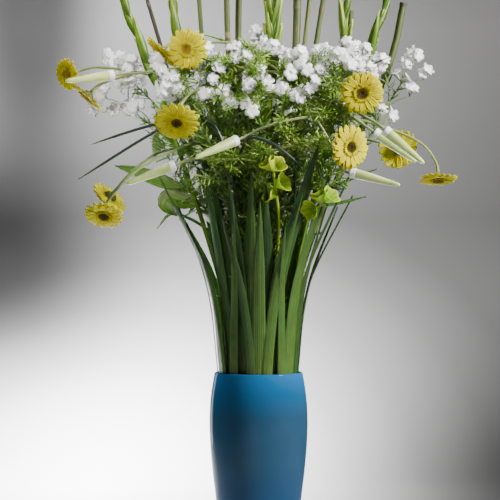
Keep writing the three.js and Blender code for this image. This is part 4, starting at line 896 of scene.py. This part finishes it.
# ---- The phlox: three cut plants with forked green stems, paired lance leaves, a few broad leaves
# that hang low, and fine leafy side shoots with small buds, which fill the crown. ----
PHLOX_STEMS = [  # the main stem, then its branches
    ([(-16, 20, 12), (-17, 22, 76), (-18, 23, 140), (-18, 24, 203), (-19, 25, 267), (-21, 27, 330), (-22, 30, 394),
      (-29, 32, 457), (-44, 27, 518), (-61, 20, 579), (-78, 14, 640)], [
        [(-54, 23, 555), (-80, 22, 610), (-107, 21, 665), (-138, 21, 718), (-177, 25, 765), (-220, 28, 808)],
        [(-78, 14, 640), (-90, 3, 669), (-103, -8, 698), (-117, -20, 726), (-132, -33, 754), (-146, -44, 782)],
        [(-61, 20, 579), (-86, 6, 621), (-111, -8, 662), (-144, -14, 701), (-184, -8, 731), (-228, -6, 756)],
        [(-32, 31, 469), (-50, 9, 518), (-78, -6, 566), (-114, -13, 609), (-146, -25, 654), (-170, -36, 705)],
        [(-69, 17, 610), (-78, 31, 646), (-86, 46, 683), (-96, 60, 719), (-108, 75, 755), (-120, 90, 790)],
    ]),
    ([(5, -22, 12), (5, -23, 72), (5, -24, 132), (6, -26, 192), (6, -27, 252), (6, -28, 312), (7, -31, 371),
      (7, -34, 431), (5, -36, 491), (2, -36, 550), (-2, -36, 610)], [
        [(0, -36, 574), (-12, -34, 625), (-24, -33, 676), (-39, -30, 726), (-57, -27, 775), (-74, -24, 824)],
        [(-2, -36, 610), (0, -26, 654), (2, -15, 698), (4, 0, 741), (6, 15, 783), (6, 30, 826)],
        [(-1, -36, 592), (-12, -46, 630), (-23, -56, 667), (-35, -65, 705), (-48, -72, 742), (-60, -80, 780)],
        [(-2, -36, 610), (1, -50, 638), (4, -63, 666), (5, -76, 695), (4, -89, 723), (-2, -100, 752)],
        [(2, -36, 550), (17, -47, 588), (32, -59, 626), (46, -70, 664), (55, -79, 704), (62, -88, 745)],
        [(2, -36, 538), (-16, -46, 574), (-35, -55, 610), (-54, -65, 646), (-75, -74, 681), (-96, -84, 716)],
    ]),
    ([(23, -14, 12), (25, -15, 70), (26, -16, 128), (27, -16, 187), (28, -17, 245), (30, -18, 303), (32, -20, 361),
      (36, -22, 418), (43, -25, 476), (52, -30, 533), (62, -34, 590)], [
        [(62, -34, 590), (63, -38, 632), (64, -42, 675), (66, -45, 717), (69, -46, 760), (72, -48, 802)],
        [(59, -33, 573), (76, -21, 624), (93, -9, 675), (113, 1, 725), (137, 11, 773), (160, 20, 822)],
        [(52, -30, 533), (92, -23, 588), (137, -17, 639), (182, -10, 690), (214, -9, 749), (250, -12, 806)],
        [(57, -32, 562), (77, -38, 599), (98, -43, 637), (115, -49, 676), (124, -56, 718), (128, -62, 760)],
        [(60, -33, 579), (70, -6, 618), (80, 21, 658), (89, 49, 697), (100, 79, 734), (110, 110, 770)],
    ]),
]
LOOSE_FLORETS = [  # root and centre of each, for each plant
    [((-226, -6, 755), (-227, -3, 774)), ((-226, -6, 755), (-245, -9, 761)), ((-226, -6, 755), (-227, -25, 761)),
     ((-119, 89, 788), (-132, 84, 796))],
    [((-59, -80, 778), (-57, -91, 796)), ((-2, -99, 750), (-15, -104, 760)), ((-2, -99, 750), (0, -99, 774)),
     ((62, -88, 743), (50, -96, 751))],
    [((249, -12, 804), (262, -16, 813)), ((249, -12, 804), (240, -19, 823)), ((213, -8, 747), (214, -21, 764)),
     ((213, -8, 747), (234, -11, 756)), ((110, 109, 769), (109, 124, 776))],
]
PHLOX_LEAVES = [  # root, middle, tip and width of each, for each plant
    [((-94, 21, 638), (-68, 22, 653), (-37, 23, 655), 15), ((-138, 21, 718), (-139, 40, 731), (-140, 64, 733), 16),
     ((-138, 21, 718), (-117, 21, 722), (-96, 21, 717), 14), ((-96, -2, 684), (-78, 8, 698), (-56, 21, 700), 15),
     ((-117, -20, 726), (-118, 2, 735), (-119, 27, 733), 13),
     ((-117, -20, 726), (-115, -43, 731), (-114, -67, 724), 16), ((-98, -1, 642), (-75, -1, 654), (-47, 0, 655), 14),
     ((-64, 2, 542), (-48, 11, 549), (-31, 21, 546), 15), ((-114, -13, 609), (-115, 14, 617), (-117, 43, 612), 17),
     ((-114, -13, 609), (-95, -14, 619), (-73, -14, 619), 17), ((-82, 39, 665), (-58, 39, 680), (-28, 40, 683), 16),
     ((-96, 60, 719), (-110, 83, 725), (-125, 106, 718), 15), ((-96, 60, 719), (-94, 32, 730), (-92, 1, 727), 16)],
    [((-18, -34, 650), (-8, -16, 660), (4, 4, 660), 15), ((-39, -30, 726), (-66, -30, 735), (-95, -30, 731), 13),
     ((-39, -30, 726), (-22, -40, 740), (0, -52, 744), 15), ((1, -21, 676), (2, 3, 690), (3, 31, 692), 15),
     ((4, 0, 741), (-16, 11, 748), (-39, 24, 745), 15), ((4, 0, 741), (27, -13, 751), (53, -28, 749), 16),
     ((-35, -65, 705), (-59, -51, 714), (-84, -37, 711), 13), ((-35, -65, 705), (-18, -55, 718), (4, -44, 722), 14),
     ((2, -56, 652), (13, -38, 661), (25, -18, 659), 14), ((5, -76, 695), (-20, -76, 703), (-47, -76, 700), 15),
     ((5, -76, 695), (27, -89, 705), (52, -103, 702), 16), ((25, -53, 607), (36, -33, 616), (50, -11, 614), 16),
     ((46, -70, 664), (30, -60, 676), (9, -49, 679), 14), ((46, -70, 664), (72, -84, 674), (99, -100, 670), 14),
     ((-54, -65, 646), (-80, -50, 654), (-108, -35, 648), 16), ((-54, -65, 646), (-32, -65, 654), (-8, -66, 652), 15)],
    [((63, -40, 654), (51, -15, 667), (36, 14, 666), 14), ((66, -45, 717), (53, -65, 724), (38, -87, 719), 15),
     ((66, -45, 717), (89, -33, 724), (113, -20, 718), 16), ((84, -15, 649), (67, -3, 662), (46, 12, 663), 14),
     ((113, 1, 725), (89, -12, 739), (61, -27, 740), 14), ((115, -20, 613), (105, 0, 629), (92, 26, 633), 15),
     ((182, -10, 690), (159, -22, 696), (136, -34, 690), 13), ((182, -10, 690), (183, 9, 697), (185, 31, 696), 16),
     ((87, -40, 618), (72, -30, 630), (53, -17, 632), 13), ((115, -49, 676), (91, -62, 691), (62, -78, 692), 16),
     ((115, -49, 676), (125, -34, 685), (137, -16, 686), 15), ((75, 7, 638), (56, 10, 651), (32, 12, 654), 15),
     ((89, 49, 697), (95, 37, 705), (102, 22, 706), 15), ((89, 49, 697), (83, 62, 699), (77, 76, 695), 13)],
]
HUNG_LEAVES = [  # the plant that it hangs from, its way, its width
    (1, [(-137, -13, 693), (-153, -10, 703), (-171, -6, 710), (-178, -4, 693), (-182, -2, 674)], 24),
    (1, [(-99, -10, 592), (-127, -17, 599), (-156, -24, 606), (-163, -27, 594), (-142, -22, 573)], 31),
    (1, [(-117, -14, 614), (-150, -18, 627), (-182, -21, 639), (-215, -25, 651), (-249, -30, 660)], 23),
    (1, [(-57, 5, 530), (-88, -1, 549), (-119, -8, 568), (-153, -14, 577), (-177, -18, 551)], 12),
    (3, [(92, -23, 588), (117, -24, 592), (141, -25, 596), (165, -29, 601), (188, -36, 607)], 13),
    (3, [(123, -19, 624), (145, -22, 631), (166, -26, 639), (186, -32, 647), (206, -40, 655)], 11),
]
BUD_NEEDLES = [  # root and tip of each, for each plant
    [((-168, -10, 719), (-165, -9, 734)), ((-205, -7, 743), (-214, -19, 751)), ((-103, 69, 741), (-95, 73, 753)),
     ((-113, 82, 771), (-117, 73, 787))],
    [((-43, -69, 727), (-40, -62, 739)), ((-53, -76, 760), (-45, -85, 776)), ((4, -84, 712), (8, -78, 725)),
     ((-67, -71, 667), (-66, -62, 681)), ((-85, -79, 697), (-81, -87, 709))],
    [((201, -9, 725), (203, 4, 741)), ((120, -53, 701), (117, -45, 713)), ((100, 80, 735), (98, 75, 750))],
]
phlox_leaf = live_finish(
    "phlox_leaf", [(0, (0.10, 0.17, 0.035)), (0.5, (0.065, 0.14, 0.022)), (1, (0.09, 0.17, 0.035))], 5, 0.35, 0.7,
    {"Roughness": 0.42, **lit_through(0.12, 0.004, 0.4, 1.0, 0.2)},
)
phlox_stem = live_finish(
    "phlox_stem", [(0, (0.05, 0.09, 0.02)), (0.5, (0.09, 0.15, 0.03)), (1, (0.16, 0.24, 0.05))], 6, 0.25, 0.4,
    {"Roughness": 0.5},
)
shoot_leaf = live_finish(
    "shoot_leaf", [(0, (0.055, 0.13, 0.012)), (0.6, (0.14, 0.25, 0.02)), (1, (0.32, 0.42, 0.07))], 2, 0.3, 0.4,
    {"Roughness": 0.45, **lit_through(0.2, 0.003, 0.5, 1.0, 0.2)},
)
pale_bud = live_finish(
    "pale_bud", [(0, (0.22, 0.34, 0.08)), (0.5, (0.48, 0.58, 0.26)), (1, (0.80, 0.82, 0.72))], 3, 0.2, 0.3,
    {"Roughness": 0.5, **lit_through(0.3, 0.003)},
)
white_petal = live_finish(
    "white_petal", [(0, (0.95, 0.94, 0.96)), (1, (0.95, 0.94, 0.97))], 3, 0.04, 0.2,
    {"Roughness": 0.55, **lit_through(0.5, 0.006, 1.0, 1.0, 1.0)},
)
STEM_COAT, SHOOT_COAT, BUD_COAT, PETAL_COAT = range(1, 5)  # places in a plant's materials; the leaf is first

form = new_form()  # one narrow shoot leaf, 20 mm long
way = points_mm([(0, 0, 0), (0, 3.4, 6.5), (0, 1.4, 13.5), (0, -8.0, 20)])
draw_rod(form, way, sizes_mm(0.6, 1.9, 1.6, 0.2), 4)
bmesh.ops.scale(form, vec=(1, 0.2, 1), verts=form.verts)
narrow_leaf = as_mesh("narrow_leaf", form)
form = new_form()  # one closed bud, 11 mm long, on its short stalk
draw_rod(form, points_mm([(0, 0, z) for z in (0, 4, 6, 8.5, 11)]), sizes_mm(0.5, 0.6, 1.5, 1.7, 0.3), 6)
shut_bud = as_mesh("shut_bud", form)
SHUT_BUD_LENGTH = 0.011


def new_floret(name, radius, cupping):
    """One phlox flower, opening along Z: a disc cut into five round lobes, on a slender tube below."""
    form = new_form()
    disc = [(0, -1.0), (radius * 0.5, 0), (radius, cupping), (1.3, -2.4), (0, -2.4)]
    draw_turned(form, profile_mm(disc), 20, Matrix())
    for corner in form.verts:
        turn = math.atan2(corner.co.y, corner.co.x)
        out = math.hypot(corner.co.x, corner.co.y) / (radius * MM)
        if out > 0.9:
            notch = 0.72 + 0.28 * min(1, 2 * abs(math.sin(2.5 * turn)))
            corner.co.x, corner.co.y = corner.co.x * notch, corner.co.y * notch
        corner.co.z += 0.7 * out * math.sin(5 * turn) * MM
    draw_rod(form, points_mm([(0, 0, z) for z in (-15, -8, -2.2)]), sizes_mm(0.8, 0.9, 1.3), 5)
    return as_mesh(name, form)


FLORETS = [("flat", 12.0, 0.4), ("cupped", 11.4, 2.6), ("reflexed", 11.8, -1.6)]  # radius, rise of the rim
florets = [new_floret(f"floret_{kind}", radius, cupping) for kind, radius, cupping in FLORETS]


def stray(luck, *spans):
    """A vector with each part drawn from its own span."""
    return Vector([luck.uniform(low, high) for low, high in spans])


def draw_shoot(form, stations, luck, leaves, bare):
    """Leaves on a fine side shoot, all round it; bare is its leafless share."""
    ways = directions(stations)
    last = len(stations) - 1
    for k in range(leaves):
        v = bare + (1 - bare) * (k + luck.random()) / leaves
        spot = v * last
        low = min(int(spot), last - 1)
        base = stations[low].lerp(stations[low + 1], spot - low)
        turn = k * 2.4 + luck.uniform(-0.4, 0.4)
        side = ways[low].orthogonal().normalized()
        side.rotate(Matrix.Rotation(turn, 3, ways[low]))
        axis = (ways[low] * luck.uniform(0.35, 1.0) + side * luck.uniform(0.5, 1.0)).normalized()
        stamp(form, narrow_leaf, lay_on(base, axis, luck.uniform(0, 6), luck.uniform(0.6, 1.25)), SHOOT_COAT)


def draw_buds(form, at, way, luck, count, coat):
    for k in range(count):
        side = stray(luck, (-1, 1), (-1, 1), (-0.5, 1))
        base, axis = at - way * (0.004 * luck.random()), (way * 1.2 + side).normalized()
        stamp(form, shut_bud, lay_on(base, axis, 0, luck.uniform(0.7, 1.2)), coat)


def lance(form, root, aim, length, width, droop):
    """A lance leaf that grows along aim and bends up or down towards its tip."""
    side = Vector((0, 0, 1)).cross(aim).normalized()
    face = aim.cross(side).normalized()
    ends = [root, root + aim * length * 0.5 * MM, root + (aim + face * droop) * length * MM]
    widths = [w * width * MM for w in (0.14, 0.6, 1.0, 1.05, 0.85, 0.45, 0.04)]
    draw_leaf(form, flow(ends, 8), face, widths, 0.5 * MM, 4, lambda x, v: -0.14 * width * (1 - abs(x)) * MM)


HEAD_MARGIN, TUBE_MARGIN, CUP_MARGIN = 5, 13, 20  # room kept round what must show, in mm
SPIKE_X, SPIKE_MARGIN = 0.0245, 8


def hides(p):
    """Whether a thing at p would stand before a gerbera, a water tube, a bell or the foremost spike."""
    def near(x, z, room):
        return math.hypot(p.x - x, p.z - z) < room * MM

    for centre, face, radius in GERBERAS:
        if p.y < centre[1] * MM + 0.014 and near(centre[0] * MM, centre[2] * MM, radius + HEAD_MARGIN):
            return True
    for mouth, beyond in TUBES:
        along = (Vector(beyond) - Vector(mouth)).normalized()
        for k in range(0, 95, 8):
            spot = (Vector(mouth) + along * k) * MM
            if p.y < spot.y + 0.01 and near(spot.x, spot.z, TUBE_MARGIN):
                return True
    if p.z > 0.56 and p.y < -0.055 and abs(p.x - SPIKE_X) < SPIKE_MARGIN * MM:
        return True
    return any(near(at[0] * MM, at[2] * MM, CUP_MARGIN) for at, axis in BELL_CUPS)


def spring(ways, tip, below):
    """The side shoot that runs to tip from the nearest station lower down on any of these stems."""
    root = min((p for way in ways for p in way if p.z < tip.z - below), key=lambda p: (p - tip).length)
    middle = root.lerp(tip, 0.5) + Vector((0, 0, 0.12 * (tip - root).length))
    return flow([root, middle, tip], 8)


def draw_sprig(form, stems, tip, luck, bare):
    """A leafy sprig that runs from the nearest stem to tip, where it hides nothing that must show."""
    if not hides(tip):
        way = spring(stems, tip, 0.03)
        draw_rod(form, way, sizes_mm(1.0, 0.5), 5, SHOOT_COAT)
        draw_shoot(form, way, luck, 20, bare)


# the lengths of gerbera stem that the foliage covers: the stem's number and the span of x, in mm
COVERED = [(1, -10, 110), (2, -25, 150), (5, -70, 60), (8, -195, 110), (9, -95, 120), (11, 20, 190)]
# clusters of loose florets before the crown, in mm, each with how many there are and how far they spread
CLUSTERS = [
    (-270, 0, 850, 2, 9), (-256, -5, 842, 2, 9), (-237, 0, 851, 2, 9), (-217, -10, 841, 2, 9), (-265, -20, 788, 3, 12),
    (-245, -20, 760, 3, 12), (-209, -30, 767, 3, 12), (-280, -15, 764, 2, 9), (-214, -40, 800, 3, 11),
    (-227, -30, 822, 2, 9), (-170, -60, 847, 2, 9), (-172, -80, 817, 3, 11), (-148, -88, 806, 3, 11),
    (-163, -90, 786, 3, 11), (-134, -92, 789, 2, 8), (-90, -70, 856, 3, 11), (-73, -95, 819, 2, 8),
    (-63, -100, 783, 3, 10), (-86, -96, 780, 2, 8), (-46, -104, 761, 2, 8), (-12, -118, 753, 3, 10),
    (-8, -50, 886, 3, 11), (6, -65, 867, 4, 13), (24, -75, 856, 4, 13), (-25, -90, 837, 3, 11), (-20, -98, 795, 3, 10),
    (2, -92, 820, 3, 10), (46, -80, 845, 3, 10), (67, -75, 845, 4, 12), (80, -85, 827, 3, 11), (50, -92, 813, 3, 11),
    (63, -100, 775, 3, 10), (77, -100, 785, 2, 9), (97, -60, 850, 3, 10), (121, -60, 850, 4, 12),
    (139, -70, 844, 3, 10), (160, -40, 866, 4, 12), (179, -40, 859, 3, 10), (154, -85, 831, 4, 12),
    (174, -85, 827, 3, 10), (193, -60, 823, 3, 11), (212, -30, 838, 3, 10), (274, -16, 855, 2, 8),
    (255, -16, 841, 3, 9), (288, -20, 821, 2, 8), (264, -14, 792, 3, 9), (224, -40, 747, 3, 9), (122, -60, 754, 2, 8),
    (149, -50, 758, 2, 8), (-39, -70, 856, 3, 10), (43, -104, 788, 2, 8), (15, -112, 794, 2, 8),
    (-107, -92, 806, 2, 9), (-79, -100, 802, 2, 7), (101, -70, 818, 2, 8), (90, -92, 796, 2, 8), (-35, -86, 837, 2, 8),
    (-99, -86, 834, 2, 9),
]
FILLERS, FILLER_RING = 46, 46
BRANCH_TWIGS, FILLER_LANCES, FRONT_SPRIGS, DEEP_LANCES, TIP_BUDS = 6, 7, 70, 58, 5
PLANT_SPANS = [(-135, -18), (-18, 30), (30, 165)]  # from where to where across the crown each plant fills it
DEEP_LOW, DEEP_HIGH = 520, 780
filler_luck = random.Random(77)
fillers = [[], [], []]
for k in range(FILLERS):
    out, turn = FILLER_RING * math.sqrt(filler_luck.random()), filler_luck.uniform(0, 2 * math.pi)
    x, y = out * math.cos(turn), out * math.sin(turn)
    top = filler_luck.uniform(660, 850) - 0.6 * abs(x)
    way = trunk(x, y, [*TRUNK_HEIGHTS, 520, 600, 0.5 * (600 + top), top])
    for p in way[6:]:
        p.x += filler_luck.uniform(-12, 12) * MM
        p.y += filler_luck.uniform(-10, 10) * MM
    fillers[0 if x < -18 else 1 if x < 18 else 2].append(flow(way, 40))

for number, (main_route, branch_routes) in enumerate(PHLOX_STEMS, 1):
    form = new_form()
    luck = random.Random(300 + number)
    own_fillers = fillers[number - 1]
    main = flow(points_mm(main_route), 40)
    draw_rod(form, main, sizes_mm(3.0, 3.0, 2.7), 9, STEM_COAT)
    branches = [flow(points_mm(route), 16) for route in branch_routes]
    for way in branches:
        draw_rod(form, way, sizes_mm(2.2, 1.9, 1.4), 7, STEM_COAT)
    for way in own_fillers:
        draw_rod(form, way, sizes_mm(1.9, 1.9, 1.6, 1.1, 0.6), 6, STEM_COAT)
    for *way, width in PHLOX_LEAVES[number - 1]:
        root, middle, tip = points_mm(way)
        side = Vector((0, 0, 1)).cross(tip - root).normalized()
        face = (tip - root).cross(side).normalized()
        widths = [w * width * MM for w in (0.14, 0.55, 0.92, 1.05, 0.95, 0.68, 0.34, 0.04)]
        crease = width * 0.16 * MM

        def creased(x, v):
            return -crease * (1 - abs(x)) + crease * 0.5 * x * x * math.sin(12 * v)

        draw_leaf(form, flow([root, middle, tip], 14), face, widths, 0.5 * MM, 6, creased)
    for owner, way, width in HUNG_LEAVES:
        if owner == number:
            stations = flow(points_mm(way), 18)
            drop = (stations[-1] - stations[0]).normalized()
            widths = [w * width * MM for w in (0.12, 0.55, 0.95, 1.08, 1.0, 0.82, 0.5, 0.05)]
            crease = width * 0.12 * MM
            face = Vector((0, -1, 0.1)) if width > 20 else Vector((0, -0.5, 1))
            face = (face - drop * face.dot(drop)).normalized()
            draw_leaf(form, stations, face, widths, 0.6 * MM, 8, lambda x, v: -crease * (1 - abs(x)))
    for way in branches:
        draw_shoot(form, way, luck, 34, 0.3)
        for k in range(BRANCH_TWIGS):
            spot = luck.randint(6, 15)
            aim = (directions(way)[spot] + stray(luck, (-1, 1), (-0.6, 0.9), (-0.1, 0.9))).normalized()
            twig_tip = way[spot] + (aim + Vector((0, 0, 0.35))) * 0.045
            twig = flow([way[spot], way[spot] + aim * 0.022, twig_tip], 8)
            draw_rod(form, twig, sizes_mm(0.9, 0.5), 5, SHOOT_COAT)
            draw_shoot(form, twig, luck, 14, 0.15)
    for way in own_fillers:
        draw_shoot(form, way, luck, 64, 0.6)
        ways = directions(way)
        for k in range(FILLER_LANCES):
            spot = luck.randint(20, 37)
            along = ways[spot] * luck.uniform(0.3, 0.9)
            aim = (along + Vector((luck.uniform(-1, 1), luck.uniform(-1, 0.8), 0)).normalized()).normalized()
            lance(form, way[spot], aim, luck.uniform(34, 52), luck.uniform(9, 13), luck.uniform(-0.2, 0.12))
    stems = [*branches, *own_fillers, main]
    low_x, high_x = PLANT_SPANS[number - 1]
    for k in range(FRONT_SPRIGS):
        draw_sprig(form, stems, stray(luck, (low_x, high_x), (-128, -40), (615, 850)) * MM, luck, 0.35)
    for stem, left, right in COVERED:
        for point in flow(points_mm(STEM_ROUTES[stem - 1]), 48):
            if max(left, low_x) * MM < point.x < min(right, high_x) * MM:
                draw_sprig(form, stems, point + stray(luck, (-5, 5), (-13, -6), (-2, 12)) * MM, luck, 0.4)
    for k in range(DEEP_LANCES):
        height = luck.uniform(DEEP_LOW, DEEP_HIGH)
        flare = 0.62 + 0.3 * (height - DEEP_LOW) / (DEEP_HIGH - DEEP_LOW)
        root = Vector((luck.uniform(low_x, high_x) * flare, luck.uniform(5, 55), height)) * MM
        aim = stray(luck, (-1, 1), (-0.7, 0.7), (-0.2, 1)).normalized()
        way = spring(stems, root, 0.02)
        draw_rod(form, way, sizes_mm(1.0, 0.7), 5, STEM_COAT)
        lance(form, way[-1], aim, luck.uniform(55, 85), luck.uniform(17, 25), luck.uniform(-0.25, 0.1))
    for x, y, z, count, wide in CLUSTERS:
        if low_x <= x < high_x or (number == 1 and x < low_x) or (number == 3 and x >= high_x):
            stalk = spring(stems, Vector((x, y + 14, z - 10)) * MM, 0.02)
            draw_rod(form, stalk, sizes_mm(1.2, 0.8), 6, STEM_COAT)
            for k in range(count):
                away = stray(luck, (-1, 1), (-1, 0.1), (-0.8, 1))
                spot = Vector((x, y, z)) * MM + away * wide * MM
                facing = (Vector((0.7 * away.x, -1.0, 0.7 * away.z + 0.25)) + Vector((0.25, 0, 0))).normalized()
                laid = lay_on(spot, facing, luck.uniform(0, 6), luck.uniform(0.9, 1.16))
                stamp(form, florets[k % 3], laid, PETAL_COAT)
                floret_stalk = [stalk[-1], (stalk[-1] + spot) / 2, spot - facing * 0.012]
                draw_rod(form, floret_stalk, sizes_mm(0.7, 0.6), 5, STEM_COAT)
    for needle in BUD_NEEDLES[number - 1]:
        root, tip = points_mm(needle)
        laid = lay_on(root, (tip - root).normalized(), 0, (tip - root).length / SHUT_BUD_LENGTH)
        stamp(form, shut_bud, laid, BUD_COAT)
    for way in [*branches, *own_fillers]:
        draw_buds(form, way[-1], directions(way)[-1], luck, TIP_BUDS, BUD_COAT)
    for k, floret in enumerate(LOOSE_FLORETS[number - 1]):
        root, centre = points_mm(floret)
        stamp(form, florets[k % 3], lay_on(centre, (centre - root).normalized(), k), PETAL_COAT)
    finishes = [phlox_leaf, phlox_stem, shoot_leaf, pale_bud, white_petal]
    show_piece(f"phlox_plant_{number}", form, "phlox_green", finishes, f"phlox_stem_{number}")

# ---- The phlox heads, six domed clusters of white five-lobed flowers on slender tubes, with green
# buds still shut between them, each head on the end of its branch. ----
PHLOX_HEADS = [  # end of the branch, the way that it points, radius
    ((-220, 28, 808), (-0.71, 0.05, 0.7), 30), ((-146, -44, 782), (-0.43, -0.32, 0.84), 28),
    ((-74, -24, 824), (-0.33, 0.06, 0.94), 24), ((6, 30, 826), (0.01, 0.32, 0.95), 36),
    ((72, -48, 802), (0.07, -0.04, 1.0), 26), ((160, 20, 822), (0.43, 0.16, 0.89), 32),
]
GOLDEN_TURN = math.pi * (3 - math.sqrt(5))
for number, (end, aim, radius) in enumerate(PHLOX_HEADS, 1):
    form = new_form()
    luck = random.Random(500 + number)
    aim = Vector(aim).normalized()
    base = Vector(end) * MM
    middle = base + aim * 8 * MM
    knot = [(0, 0.2), (2.4, 0.3), (4.2, 4), (4.8, 8), (3.6, 13), (0, 15)]
    draw_turned(form, profile_mm(knot), 12, lay_on(base, aim), 1)
    around = Vector((0, 0, 1)).rotation_difference((aim + Vector((0, -0.25, 0.6))).normalized())
    count = round(radius * 0.62)
    rays = []
    for k in range(count):
        height = 1 - 1.45 * (k + 0.5) / count
        wide = math.sqrt(1 - height * height)
        ray = Vector((wide * math.cos(k * GOLDEN_TURN), wide * math.sin(k * GOLDEN_TURN), height))
        ray.rotate(around)
        rays.append(ray)
        centre = middle + ray * (radius * luck.uniform(0.8, 1.08)) * MM
        facing = (ray + stray(luck, *[(-0.35, 0.35)] * 3)).normalized()
        pattern = florets[luck.randrange(3)]
        stamp(form, pattern, lay_on(centre, facing, luck.uniform(0, 6), luck.uniform(0.82, 1.0)), 0)
    for k, ray in enumerate(rays):
        stalk = [middle, middle + ray * radius * 0.35 * MM, middle + ray * radius * 0.62 * MM]
        draw_rod(form, flow(stalk, 4), sizes_mm(0.9, 0.6), 5, 1)
        if k % 2 == 0:
            draw_buds(form, middle + ray * radius * 0.6 * MM, ray, luck, 2, 1)
    show_piece(f"phlox_flowers_{number}", form, "phlox_white", [white_petal, pale_bud], f"phlox_head_{number}")
